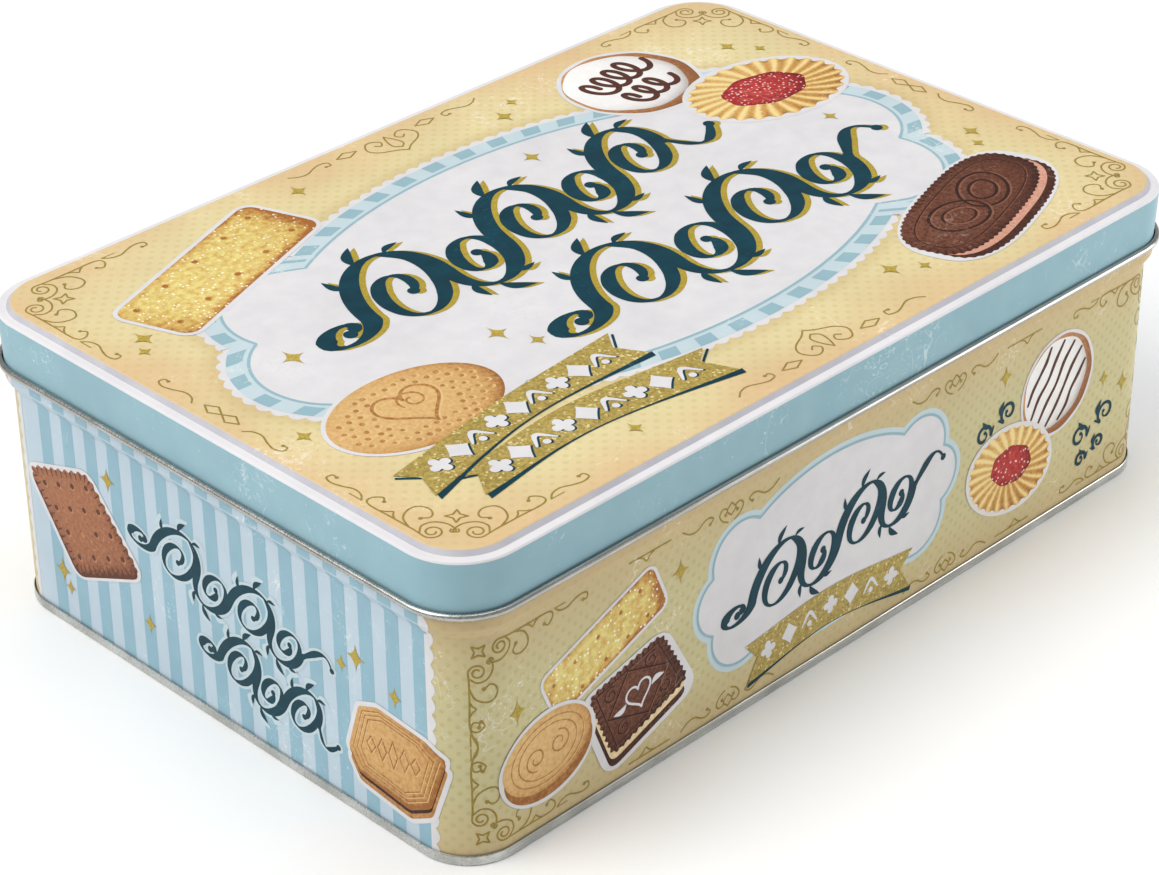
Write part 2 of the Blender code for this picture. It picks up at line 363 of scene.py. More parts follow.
def printed_panel():
    """Printed sheet of the lid's panel: cream with polka dots, peach towards the edges, and a soft
    painted shade round the white cloud."""
    material, tree, shader = new_finish("panel print, offset inks on tinplate", Specular_IOR_Level=0.16)
    place = add(tree, "ShaderNodeTexCoord").outputs["Object"]
    dots = polka(tree, place, 2.6, 0.24)
    cream = add(tree, "ShaderNodeMix", {"Factor": dots.outputs[0], 6: shade("#decf9e"), 7: shade("#d7c791")},
                data_type="RGBA")
    size = add(tree, "ShaderNodeVectorMath", {0: place}, operation="ABSOLUTE")
    # Distance to the nearest panel edge, softened by a slow noise so that the fade looks airbrushed.
    half_panel = ((FLAT_X + CORNER - PANEL_EDGE) * MM, (FLAT_Y + CORNER - PANEL_EDGE) * MM, 1.0)
    edge = add(tree, "ShaderNodeVectorMath", {0: half_panel, 1: size.outputs[0]}, operation="SUBTRACT")
    parts = add(tree, "ShaderNodeSeparateXYZ", {0: edge.outputs[0]})
    near = add(tree, "ShaderNodeMath", {0: parts.outputs["X"], 1: parts.outputs["Y"], 2: 0.02},
               operation="SMOOTH_MIN")
    drift = add(tree, "ShaderNodeTexNoise", {"Vector": place, "Scale": 28.0, "Detail": 3.0})
    wander = add(tree, "ShaderNodeMapRange", {"Value": drift.outputs["Fac"], 1: 0.3, 2: 0.7, 3: -0.008,
                                              4: 0.009})
    depth = add(tree, "ShaderNodeMath", {0: near.outputs[0], 1: wander.outputs[0]})
    fade = add(tree, "ShaderNodeMapRange", {"Value": depth.outputs[0], 1: 0.017, 2: -0.006, 3: 0.0, 4: 0.68},
               interpolation_type="SMOOTHSTEP")
    warm = add(tree, "ShaderNodeMix", {"Factor": fade.outputs[0], 6: cream.outputs[2], 7: shade("#d9b184")},
               data_type="RGBA")
    # Shade round the cloud: full from 6.5 mm outside the nearest of its three shapes, gone at 11 mm.
    nearest = None
    for x, y, reach_x, reach_y in CLOUD_SHAPES:
        moved = add(tree, "ShaderNodeVectorMath", {0: size.outputs[0], 1: (x * MM, y * MM, 0)},
                    operation="SUBTRACT")
        shade_x, shade_y = (reach_x + CLOUD_SHADE) * MM, (reach_y + CLOUD_SHADE) * MM
        flat = add(tree, "ShaderNodeVectorMath", {0: moved.outputs[0], 1: (1 / shade_x, 1 / shade_y, 0)},
                   operation="MULTIPLY")
        away = add(tree, "ShaderNodeVectorMath", {0: flat.outputs[0]}, operation="LENGTH").outputs["Value"]
        scaled = add(tree, "ShaderNodeMath", {0: away, 1: 1.0}, operation="SUBTRACT")
        real = add(tree, "ShaderNodeMath", {0: scaled.outputs[0], 1: shade_y}, operation="MULTIPLY")
        if nearest is None:
            nearest = real.outputs[0]
        else:
            least = add(tree, "ShaderNodeMath", {0: nearest, 1: real.outputs[0]}, operation="MINIMUM")
            nearest = least.outputs[0]
    soft = add(tree, "ShaderNodeMapRange", {"Value": nearest, 1: 0.004, 2: -0.0005, 3: 0.0, 4: 0.3},
               interpolation_type="SMOOTHSTEP")
    shaded = add(tree, "ShaderNodeMix", {"Factor": soft.outputs[0], 6: warm.outputs[2], 7: shade("#b99b62")},
                 data_type="RGBA")
    varnish(tree, shader, shaded.outputs[2], 0.5, "#f4efe2")
    return material


def plain_ink(name, colour, wear=0.5, wear_colour="#f2ede0", grain=None, grain_mm=0.8):
    """One ink of the print under varnish. A second tone, if given, mottles it at `grain_mm`."""
    material, tree, shader = new_finish(name, Specular_IOR_Level=0.16)
    place = add(tree, "ShaderNodeTexCoord").outputs["Object"]
    mottle = add(tree, "ShaderNodeTexNoise", {"Vector": place, "Scale": 1000 / grain_mm, "Detail": 2.0})
    amount = add(tree, "ShaderNodeMapRange", {"Value": mottle.outputs["Fac"], 1: 0.35, 2: 0.65})
    inks = add(tree, "ShaderNodeMix", {"Factor": amount.outputs[0], 6: shade(colour),
                                       7: shade(grain or colour)},
               data_type="RGBA")
    varnish(tree, shader, inks.outputs[2], wear, wear_colour)
    return material


panel_print = printed_panel()
ledge_white = plain_ink("ledge white, coated tinplate", "#e2e0e1", 0.3, "#d0ced2", "#dddbde", 6.0)
# Painted shade: the slope is white coating like the ledge, coloured grey here to stand in for the darker
# surroundings it reflects as it curves down from the panel.
slope_painted_shade = plain_ink("ledge slope, white coating with painted shade", "#c2c1c6", 0.3, "#d6d5d9", "#b9b8bf", 6.0)
skirt_blue = plain_ink("skirt blue, coated tinplate", "#97bac4", 0.8, "#c9dbdf", "#91b5c0", 9.0)
lid_tinplate = rolled_tinplate("lid tinplate, bright roll", "#c3c4c1", "#a2a29d", 0.27)
panel_face = bend([(9.0, 75.0, 0), (2.9, 75.0, 0.2), (2.62, 74.88, 0)])
lid_slope = bend([(2.6, 74.86, 0), (1.75, 73.98, 0)])
lid_ledge = bend([(1.7, 73.94, 0), (1.5, 73.9, 0.15), (0.6, 73.9, 0), (-0.1, 73.9, 0.35), (-0.33, 73.45, 0)])
lid_skirt = bend([(-0.33, 73.4, 0), (-0.2, 68.0, 0), (0.0, 62.4, 0), (0.0, 61.9, 0)])
lid_roll = curl(-0.575, 61.575, 0.575, 180, 465, 24) + curl(-0.575, 61.575, 0.825, 465, 180, 30)
lid_inside = bend([
    (0.1, 66.0, 0), (-0.08, 73.65, 0.3), (1.72, 73.65, 0.15), (2.75, 74.75, 0.2), (9.0, 74.75, 0),
])
lid = sweep("lid_sheet", [(0, panel_face), (1, lid_slope), (2, lid_ledge), (3, lid_skirt), (4, lid_roll),
                          (4, lid_inside)], True,
            [panel_print, slope_painted_shade, ledge_white, skirt_blue, lid_tinplate])
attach(lid, "lid")
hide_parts("lid")

# ------------------------------------------------------------------ white cloud on the lid and walls
# Each cloud is printed in layers: a scalloped white lace edge, a ring of blue blocks, a blue line
# and the white middle. Every print here is its own thin layer, a few hundredths of a mm apart.
LAYER = 0.02


def panel_spot(x, y, lift):
    """Point of the lid's panel in metres."""
    return Vector((x * MM, y * MM, (PANEL_TOP + lift) * MM))


on_panel = (panel_spot, [])


def wall_inset(height):
    """How far in the wall's printed face lies at a height."""
    if height < SLOPE_FOOT:
        return WALL_INSET
    if height < BEAD_FOOT:
        return WALL_INSET - (WALL_INSET + 0.1) * (height - SLOPE_FOOT) / (BEAD_FOOT - SLOPE_FOOT)
    return -0.1


def on_wall(middle, flat_half):
    """A way to place a print on the wall, in the flat frame of the side whose middle is `middle`,
    and the lines at which the print is cut so that it bends with the sheet at the corners."""
    def place(across, height, lift):
        spot = wall_spot(middle + across, wall_inset(height) - lift)
        return Vector((spot.x * MM, spot.y * MM, height * MM))

    bends = [flat_half + CORNER_RUN * i / 22 for i in range(22)]
    return place, bends + [-line for line in bends]


on_front = on_wall(0, FLAT_X)
on_right = on_wall(SIDE_MIDDLE, FLAT_Y)
on_back = on_wall(AROUND / 2, FLAT_X)
on_left = on_wall(-SIDE_MIDDLE, FLAT_Y)


def separate_lifts(verts):
    """Each vertex with a lift of up to 0.02 mm that differs between shapes, so that no two shapes
    lie in one plane."""
    seen = set()
    shape = 0
    for first in verts:
        if first in seen:
            continue
        shape += 1
        reached = [first]
        seen.add(first)
        while reached:
            vert = reached.pop()
            yield vert, 0.0008 * (shape % 24)
            for edge in vert.link_edges:
                other = edge.other_vert(vert)
                if other not in seen:
                    seen.add(other)
                    reached.append(other)


def print_layer(name, draw, places, finish, body):
    """Draw a print flat, once for each place, and lay it on the tin. draw(mesh) works in mm, with z
    as the layer's number."""
    whole = bmesh.new()
    whole.verts.layers.float.new("tone")
    for place, bends in places:
        flat = bmesh.new()
        flat.verts.layers.float.new("tone")
        draw(flat)
        flat.normal_update()
        for face in flat.faces:
            if face.normal.z < 0:
                face.normal_flip()
        reach = max(abs(vert.co.x) for vert in flat.verts)
        for line in bends:
            if abs(line) < reach:
                bmesh.ops.bisect_plane(flat, geom=flat.verts[:] + flat.edges[:] + flat.faces[:],
                                       plane_co=(line, 0, 0), plane_no=(1, 0, 0))
        for vert, extra in list(separate_lifts(flat.verts[:])):
            vert.co = place(vert.co.x, vert.co.y, vert.co.z * LAYER + extra)
        sheet = bpy.data.meshes.new(name)
        flat.to_mesh(sheet)
        flat.free()
        whole.from_mesh(sheet)
        bpy.data.meshes.remove(sheet)
    piece = joined(name, whole, [finish], 60)
    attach(piece, body)


def print_on_lid(name, draw, finish):
    print_layer(name, draw, [on_panel], finish, "lid")


def print_on_walls(name, draw, places, finish):
    print_layer(name, draw, places, finish, "tin_body")


def cloud_reach(shapes, angle, grow):
    """Distance from a cloud's middle to its edge in one direction."""
    ray = (math.cos(angle), math.sin(angle))
    best = 0.0
    for x, y, reach_x, reach_y in shapes:
        for flip_x in ((1, -1) if x else (1,)):
            for flip_y in ((1, -1) if y else (1,)):
                a, b = reach_x + grow, reach_y + grow
                k = (ray[0] / a) ** 2 + (ray[1] / b) ** 2
                m = ray[0] * x * flip_x / a ** 2 + ray[1] * y * flip_y / b ** 2
                c = (x / a) ** 2 + (y / b) ** 2 - 1
                root = m * m - k * c
                if root > 0:
                    best = max(best, (m + math.sqrt(root)) / k)
    return best


def cloud_edge(shapes, centre, grow, scallop=0.0, pitch=4.0, steps=720):
    """Outline of a cloud as points, with a scalloped edge if asked for."""
    points = []
    for i in range(steps):
        angle = 2 * math.pi * i / steps
        reach = cloud_reach(shapes, angle, grow)
        points.append(Vector((reach * math.cos(angle), reach * math.sin(angle))))
    if scallop:
        lengths = [0.0]
        for a, b in zip(points, points[1:] + points[:1]):
            lengths.append(lengths[-1] + (b - a).length)
        waves = round(lengths[-1] / pitch)
        plain = list(points)
        for i, point in enumerate(plain):
            ahead = (plain[(i + 1) % steps] - plain[i - 1]).normalized()
            swell = abs(math.sin(math.pi * waves * lengths[i] / lengths[-1]))
            points[i] = point + Vector((ahead.y, -ahead.x)) * scallop * swell
    return [point + Vector(centre) for point in points]


def ring(mesh, outer, inner, layer, tones=(0.0, 0.0)):
    """Band between two outlines of equal length."""
    tone = mesh.verts.layers.float["tone"]
    rows = []
    for outline, value in ((outer, tones[0]), (inner, tones[1])):
        rows.append([mesh.verts.new((p.x, p.y, layer)) for p in outline])
        for vert in rows[-1]:
            vert[tone] = value
    count = len(outer)
    for i in range(count):
        j = (i + 1) % count
        mesh.faces.new((rows[0][i], rows[0][j], rows[1][j], rows[1][i]))


def patch(mesh, outline, layer, tone_at=None, rings=6, centre=None):
    """Filled outline, divided into shrinking rings so that it follows a curve and can carry tones.
    tone_at(point, depth) gives a tone, with depth 0 at the edge and 1 in the middle."""
    tone = mesh.verts.layers.float["tone"]
    middle = centre or sum(outline, Vector((0, 0))) / len(outline)
    rows = []
    for level in range(rings):
        depth = (level / rings) ** 1.3
        row = []
        for point in outline:
            spot = point.lerp(middle, depth)
            vert = mesh.verts.new((spot.x, spot.y, layer))
            vert[tone] = tone_at(spot, depth) if tone_at else 0.0
            row.append(vert)
        rows.append(row)
    hub = mesh.verts.new((middle.x, middle.y, layer))
    hub[tone] = tone_at(middle, 1.0) if tone_at else 0.0
    count = len(outline)
    for outer, inner in zip(rows, rows[1:]):
        for i in range(count):
            j = (i + 1) % count
            mesh.faces.new((outer[i], outer[j], inner[j], inner[i]))
    for i in range(count):
        mesh.faces.new((rows[-1][i], rows[-1][(i + 1) % count], hub))


def cloud_blocks(mesh, shapes, centre, near, far, length, layer):
    """Blocks along a cloud's edge, one length on and one length off."""
    steps = 2880
    low = cloud_edge(shapes, centre, near, steps=steps)
    high = cloud_edge(shapes, centre, far, steps=steps)
    lengths = [0.0]
    for a, b in zip(high, high[1:] + high[:1]):
        lengths.append(lengths[-1] + (b - a).length)
    pairs = round(lengths[-1] / (2 * length))
    total = lengths[-1]
    last = None
    for i in range(steps):
        wanted = (lengths[i] / total * pairs) % 1.0 < 0.5
        if wanted:
            edge = [mesh.verts.new((p.x, p.y, layer)) for p in (low[i], high[i])]
            if last:
                mesh.faces.new((last[0], last[1], edge[1], edge[0]))
            last = edge
        else:
            last = None


WALL_CLOUD = ((0, 0, 34.4, 21.5), (28.5, 9.0, 8.8, 8.8), (34.0, 0, 7.8, 7.8))
WALL_CLOUD_MIDDLE = (-4.0, 31.0)
cloud_white = plain_ink("cloud white, opaque white ink", "#dcdadb", 0.25, "#cac8c6", "#d7d5d7", 5.0)
cloud_pale = plain_ink("cloud ring, pale blue ink", "#c1d2d7", 0.4)
cloud_blue = plain_ink("cloud blocks, blue ink", "#93b4be", 0.5)


def lid_lace(mesh):
    outer = cloud_edge(CLOUD_SHAPES, (0, 0), 5.7, 1.1, 4.0, 2880)
    ring(mesh, outer, cloud_edge(CLOUD_SHAPES, (0, 0), 3.0, steps=2880), 1)


def lid_cloud_ring(mesh):
    ring(mesh, cloud_edge(CLOUD_SHAPES, (0, 0), 4.8), cloud_edge(CLOUD_SHAPES, (0, 0), -1.0), 2)


def lid_cloud_blocks(mesh):
    cloud_blocks(mesh, CLOUD_SHAPES, (0, 0), 1.3, 4.7, 5.0, 3)
    ring(mesh, cloud_edge(CLOUD_SHAPES, (0, 0), 0.35), cloud_edge(CLOUD_SHAPES, (0, 0), -0.35), 4)


def lid_cloud_middle(mesh):
    patch(mesh, cloud_edge(CLOUD_SHAPES, (0, 0), -0.2, steps=360), 3, rings=4)


print_on_lid("lid_lace", lid_lace, cloud_white)
print_on_lid("lid_cloud_ring", lid_cloud_ring, cloud_pale)
print_on_lid("lid_cloud_blocks", lid_cloud_blocks, cloud_blue)
print_on_lid("lid_cloud", lid_cloud_middle, cloud_white)


def wall_cloud_halo(mesh):
    ring(mesh, cloud_edge(WALL_CLOUD, WALL_CLOUD_MIDDLE, 1.5),
         cloud_edge(WALL_CLOUD, WALL_CLOUD_MIDDLE, -1), 1)


def wall_cloud_line(mesh):
    ring(mesh, cloud_edge(WALL_CLOUD, WALL_CLOUD_MIDDLE, 0.3),
         cloud_edge(WALL_CLOUD, WALL_CLOUD_MIDDLE, -0.35), 3)


def wall_cloud_middle(mesh):
    patch(mesh, cloud_edge(WALL_CLOUD, WALL_CLOUD_MIDDLE, -0.2, steps=240), 2, rings=4)


LONG_SIDES = [on_front, on_back]
SHORT_SIDES = [on_left, on_right]
print_on_walls("wall_cloud_halo", wall_cloud_halo, LONG_SIDES, cloud_pale)
print_on_walls("wall_cloud_line", wall_cloud_line, LONG_SIDES, cloud_blue)
print_on_walls("wall_cloud", wall_cloud_middle, LONG_SIDES, cloud_white)

# ------------------------------------------------------------------ brush flourishes
# Big brush-drawn scrolls and leaves in dark teal fill the white clouds and the striped sides, with a
# gold copy set off to the lower right under those on the lid.


def smooth(points, step=0.7):
    """Even points along a smooth curve through these, each with its place along the list."""
    marks = [Vector(p) for p in points]
    marks = [2 * marks[0] - marks[1]] + marks + [2 * marks[-1] - marks[-2]]
    path = []
    for i in range(1, len(marks) - 2):
        a, b, c, d = marks[i - 1:i + 3]
        count = max(2, int((c - b).length / step))
        for k in range(count):
            t = k / count
            spot = 0.5 * (2 * b + (c - a) * t + (2 * a - 5 * b + 4 * c - d) * t * t
                          + (3 * b - a - 3 * c + d) * t * t * t)
            path.append((spot, i - 1 + t))
    path.append((marks[-2], len(marks) - 3))
    return path


def stroke(mesh, points, widths, layer, step=0.7, tone_value=0.0):
    """Pen or brush line through points, with a width at each point, or one for all, and round ends.
    It climbs a third of a layer from end to end, so that it clears itself where it crosses."""
    tone = mesh.verts.layers.float["tone"]
    path = smooth(points, step)
    closed = (Vector(points[0]) - Vector(points[-1])).length < 0.001
    if not isinstance(widths, (list, tuple)):
        widths = [widths] * len(points)
    rows = []
    for i, (spot, place) in enumerate(path):
        before = path[i - 1 if i else (-2 if closed else 0)][0]
        after = path[i + 1 if i < len(path) - 1 else (1 if closed else i)][0]
        ahead = (after - before).normalized()
        k = min(int(place), len(widths) - 2)
        half = (widths[k] + (widths[k + 1] - widths[k]) * (place - k)) / 2
        side = Vector((-ahead.y, ahead.x)) * half
        height = layer + 0.35 * i / len(path)
        pair = [mesh.verts.new((*(spot + side), height)), mesh.verts.new((*(spot - side), height))]
        if rows:
            last = rows[-1][3]
            mesh.faces.new((last[0], last[1], pair[1], pair[0]))
        rows.append((spot, ahead, half, pair, height))
    ends = []
    for (spot, ahead, half, pair, height), sign in ((rows[0], -1), (rows[-1], 1)):
        if half < 0.12 or closed:
            continue
        rim = [pair[0]]
        side = Vector((-ahead.y, ahead.x))
        for s in range(1, 8):
            angle = math.pi * s / 8
            spot_s = spot + half * (side * math.cos(angle) + sign * ahead * math.sin(angle))
            rim.append(mesh.verts.new((*spot_s, height)))
        ends += rim[1:]
        mesh.faces.new(rim + [pair[1]])
    for vert in ends + [vert for row in rows for vert in row[3]]:
        vert[tone] = tone_value


def ball(mesh, centre, radius, layer, steps=20, tone_value=0.0):
    """Round dot."""
    tone = mesh.verts.layers.float["tone"]
    angles = [2 * math.pi * i / steps for i in range(steps)]
    rim = [mesh.verts.new((centre[0] + radius * math.cos(a), centre[1] + radius * math.sin(a), layer))
           for a in angles]
    for vert in rim:
        vert[tone] = tone_value
    mesh.faces.new(rim)


def leaf(mesh, root, angle, length, width, layer):
    """Pointed leaf with one fuller side, from its root in a direction in degrees."""
    ahead = Vector((math.cos(math.radians(angle)), math.sin(math.radians(angle))))
    side = Vector((-ahead.y, ahead.x))
    outline = []
    for i in range(25):
        t = i / 24
        outline.append(Vector(root) + ahead * length * t
                       + side * width * (0.62 * math.sin(math.pi * t ** 0.8) + 0.25 * math.sin(math.pi * t)))
    for i in range(1, 24):
        t = 1 - i / 24
        outline.append(Vector(root) + ahead * length * t - side * width * 0.28 * math.sin(math.pi * t ** 1.2)
                       + side * width * 0.25 * math.sin(math.pi * t))
    patch(mesh, outline, layer, rings=3)


def coil(centre, start, end, first, turns):
    """Points of a spiral from radius `start` to `end`, from angle `first` degrees; minus turns clockwise."""
    count = max(8, int(abs(turns) * 14))
    points = []
    for i in range(count + 1):
        t = i / count
        angle = math.radians(first + 360 * turns * t)
        radius = end + (start - end) * (1 - t) ** 0.9
        points.append((centre[0] + radius * math.cos(angle), centre[1] + radius * math.sin(angle)))
    return points


PEN_SLANT = 0.34                 # how far the scrolls lean, sideways per unit of height
BROAD_PEN = 1.7                  # how sharply the line swells on its down strokes


def pen_widths(points, weight, spread, fine=0.24, ends=5):
    """A broad pen's line: full on the leaning down strokes, fine across them, tapered at both ends."""
    down = Vector((PEN_SLANT, 1.0)).normalized()
    widths = []
    for i in range(len(points)):
        ahead = Vector(points[min(i + 1, len(points) - 1)]) - Vector(points[max(i - 1, 0)])
        along = abs(ahead.normalized().dot(down)) ** BROAD_PEN
        taper = min(1.0, (i + 1) / ends, (len(points) - i) / ends)
        widths.append(spread + weight * (fine + (1 - fine) * along) * (0.3 + 0.7 * taper))
    return widths


def vine(mesh, root, angle, span, heights, swing, weight, layer, shift=(0, 0), spread=0.0):
    """Running scroll from a broad pen: a waving stem with a curl and leaves in every wave."""
    turn = Matrix.Rotation(math.radians(angle), 2)

    def placed(points):
        return [tuple(Vector(root) + turn @ Vector((x + PEN_SLANT * y, y)) + Vector(shift))
                for x, y in points]

    unit = span / sum(heights)
    left = 0.0
    stem = []
    for k, height in enumerate(heights):
        up = 1 if k % 2 == 0 else -1
        half = unit * height / 2
        rise = up * swing * height
        middle = left + half
        for i in range(0 if k == 0 else 1, 15):
            a = math.pi * (1 - i / 14)
            stem.append((middle + half * math.cos(a), rise * math.sin(a)))
        branch = [(middle + half * (0.03 + px), rise * (0.1 + py)) for px, py in
                  coil((0, 0), 0.84, 0.16, 66, -1.3)]
        branch = [(middle + half * math.cos(math.radians(78)), rise * math.sin(math.radians(78)))] + branch
        stroke(mesh, placed(branch), pen_widths(branch, weight * 0.78, spread), layer)
        ball(mesh, placed(branch[-1:])[0], spread / 2 + weight * 0.3, layer)
        for place, size, lean in ((140, 0.5, 54), (104, 0.62, 40), (66, 0.42, 36)):
            a = math.radians(place)
            leaf(mesh, placed([(middle + half * math.cos(a), rise * math.sin(a))])[0],
                 angle + up * (place - 90 + lean), swing * size + spread,
                 up * (swing * size * 0.34 + spread), layer)
        left += 2 * half
    first = unit * heights[0] / 2
    hook = [(first * (px - 0.62), -swing * (0.1 + py) * 0.62) for px, py in coil((0, 0), 0.62, 0.14, 8, 1.15)]
    tail_up = 1 if len(heights) % 2 == 0 else -1
    tail = [(left + first * 0.05 + first * t * 1.1, tail_up * swing * (0.62 * math.sin(2.6 * t) - 0.12 * t))
            for t in (i / 12 for i in range(13))]
    line = hook[::-1] + stem
    stroke(mesh, placed(line), pen_widths(line, weight, spread), layer)
    ball(mesh, placed(line[:1])[0], spread / 2 + weight * 0.34, layer)
    stroke(mesh, placed(stem[-2:-1] + tail), pen_widths(stem[-2:-1] + tail, weight * 0.8, spread), layer)
    ball(mesh, placed(tail[-1:])[0], spread / 2 + weight * 0.3, layer)


def lid_flourish(mesh, layer, shift):
    """Two rows of brushed scrolls that climb to the right across the lid."""
    vine(mesh, (-60, 8.5), 7, 105, (1.25, 0.9, 1.1, 0.85, 1.0), 14.0, 4.8, layer, shift)
    vine(mesh, (-22, -22.5), 5.5, 91, (1.15, 0.9, 1.1, 0.85), 14.0, 4.8, layer, shift)


teal_ink = plain_ink("flourish teal, brushed ink", "#003c4a", 0.3, "#3f6c79", "#003341", 5.0)
gold_ink = plain_ink("flourish gold, metallic ink", "#b39c38", 0.3, "#d5c98a", "#a38c30", 0.7)
print_on_lid("lid_flourish_gold", lambda mesh: lid_flourish(mesh, 5, (1.1, -0.9)), gold_ink)
print_on_lid("lid_flourish", lambda mesh: lid_flourish(mesh, 6.5, (0, 0)), teal_ink)


def front_flourish(mesh):
    """One row of scrolls in the cloud of a long side."""
    vine(mesh, (-29, 27), 6, 53, (1.2, 0.9, 1.1, 0.85), 7.8, 2.9, 4)


def small_flourish(mesh, root, angle, size):
    """Small pen scroll with two leaves, beside the biscuits of a long side."""
    turn = Matrix.Rotation(math.radians(angle), 2)
    for hand in (1, -1):
        curve = [(size * 0.1 * hand, 0.0)] + [(size * 0.5 * hand + x * hand, y) for x, y in
                                             coil((0, 0), size * 0.3, size * 0.08, 215, -1.2)]
        points = [tuple(Vector(root) + turn @ Vector(p)) for p in curve]
        stroke(mesh, points, [0.5] + [0.85] * (len(points) - 6) + [0.45] * 5, 5, 0.4)
        ball(mesh, points[-1], 0.5, 5, 12)
        stalk = Vector(root) + turn @ Vector((hand * size * 0.2, size * 0.08))
        leaf(mesh, tuple(stalk), angle + 90 - hand * 35, size * 0.42, size * 0.16, 5)


def small_flourishes(mesh):
    small_flourish(mesh, (51.5, 35.5), 18, 9.0)
    small_flourish(mesh, (88.5, 19.5), 18, 10.0)
    small_flourish(mesh, (88.0, 12.5), 18, 7.0)


def side_flourish(mesh, layer, extra):
    """Two rows of scrolls on a short side's stripes."""
    vine(mesh, (-20.5, 36.5), -6, 48, (1.2, 0.9, 1.1, 0.85), 6.8, 2.3, layer, spread=extra)
    vine(mesh, (0, 18.5), -6, 31, (1.15, 0.9, 1.05), 6.8, 2.3, layer, spread=extra)


print_on_walls("front_flourish", front_flourish, LONG_SIDES, teal_ink)
print_on_walls("front_small_flourishes", small_flourishes, LONG_SIDES, teal_ink)
print_on_walls("side_flourish_outline", lambda mesh: side_flourish(mesh, 3, 1.3), SHORT_SIDES, cloud_pale)
print_on_walls("side_flourish", lambda mesh: side_flourish(mesh, 4.5, 0), SHORT_SIDES, teal_ink)

# ------------------------------------------------------------------ stripes of the short sides
# The short sides carry upright blue stripes between two scalloped white borders, which run up over
# the bead with the rest of the sheet.
STRIPE_PITCH = 7.9
STRIPE_WIDTH = 3.95
STRIPE_SHIFT = -0.6              # the row of stripes sits this far off the wall's middle


def upright(mesh, left, right, low, high, layer):
    """Upright strip of print between two fixed edges, divided at heights so that it follows the wall's bead.
    """
    heights = [low] + [h for h in (20.0, 40.0, SLOPE_FOOT - 0.4, SLOPE_FOOT + 0.3, 56.4, BEAD_FOOT - 0.5,
                                   BEAD_FOOT + 0.3) if low < h < high] + [high]
    columns = 4
    grid = [[mesh.verts.new((left + (right - left) * c / columns, h, layer)) for c in range(columns + 1)]
            for h in heights]
    for lower, upper in zip(grid, grid[1:]):
        for c in range(columns):
            mesh.faces.new((lower[c], lower[c + 1], upper[c + 1], upper[c]))


def stripes(mesh):
    for i in range(-7, 9):
        middle = i * STRIPE_PITCH + STRIPE_SHIFT
        upright(mesh, middle - STRIPE_WIDTH / 2, middle + STRIPE_WIDTH / 2, 2.0, BEAD_TOP - 0.3, 1)


def side_borders(mesh):
    """White strip with a scalloped outer edge at each end of a short side."""
    for side in (-1, 1):
        rows = []
        count = 232
        for i in range(count + 1):
            height = 2.0 + (BEAD_TOP - 2.3) * i / count
            swell = 0.9 * abs(math.sin(math.pi * height / 4.0))
            rows.append([mesh.verts.new((side * x, height, 2)) for x in (64.0, 64.9, 65.2 + swell)])
        for low, high in zip(rows, rows[1:]):
            for c in range(2):
                mesh.faces.new((low[c], low[c + 1], high[c + 1], high[c]))


stripe_blue = plain_ink("stripe blue, offset ink", "#94b7c5", 0.6, "#cfdfe3", "#8fb3c2", 8.0)
print_on_walls("side_stripes", stripes, SHORT_SIDES, stripe_blue)
print_on_walls("side_borders", side_borders, SHORT_SIDES, cloud_white)

# ------------------------------------------------------------------ ribbons
# Gold glitter ribbons with swallow-tail ends lie under the flourishes; a dark line shades the lower
# edge of each, and a row of small white ornaments is set along it.


def glitter_gold():
    """Gold glitter ink: coarse bright and dark flakes about 0.5 mm across in a tan ground."""
    material, tree, shader = new_finish("ribbon gold, glitter ink", Specular_IOR_Level=0.5)
    place = add(tree, "ShaderNodeTexCoord").outputs["Object"]
    flakes = add(tree, "ShaderNodeTexVoronoi", {"Vector": place, "Scale": 1900.0})
    flake = add(tree, "ShaderNodeSeparateColor", {0: flakes.outputs["Color"]})
    ground = add(tree, "ShaderNodeMix", {"Factor": flake.outputs[0], 6: shade("#917a34"),
                                         7: shade("#baa34f")},
                 data_type="RGBA")
    bright = add(tree, "ShaderNodeMapRange", {"Value": flake.outputs[1], 1: 0.9, 2: 0.97})
    sparkle = add(tree, "ShaderNodeMix", {"Factor": bright.outputs[0], 6: ground.outputs[2],
                                          7: shade("#e0cf90")},
                  data_type="RGBA")
    varnish(tree, shader, sparkle.outputs[2], 0.2, "#e6dcb4")
    return material


ribbon_gold = glitter_gold()


def ribbon(mesh, upper, lower, notches, layer):
    """Swallow-tail ribbon between two smooth edges, each drawn from left to right."""
    top = [spot for spot, _ in smooth(upper, 1.5)]
    count = len(top)
    rows = []
    for i in range(count):
        t = i / (count - 1)
        foot = [spot for spot, _ in smooth(lower, 1.5)]
        low = foot[min(int(t * (len(foot) - 1)), len(foot) - 1)]
        rows.append((top[i], low))
    left, right = (Vector(n) for n in notches)
    grid = []
    for i, (high, low) in enumerate(rows):
        t = i / (count - 1)
        middle = (high + low) / 2
        pull = max(0.0, 1 - t * 6)
        push = max(0.0, (t - 5 / 6) * 6)
        middle = middle.lerp(left + (middle - rows[0][0].lerp(rows[0][1], 0.5)), pull)
        middle = middle.lerp(right + (middle - rows[-1][0].lerp(rows[-1][1], 0.5)), push)
        line = (high, high.lerp(middle, 0.5), middle, middle.lerp(low, 0.5), low)
        grid.append([mesh.verts.new((p.x, p.y, layer)) for p in line])
    for a, b in zip(grid, grid[1:]):
        for c in range(4):
            mesh.faces.new((a[c], b[c], b[c + 1], a[c + 1]))


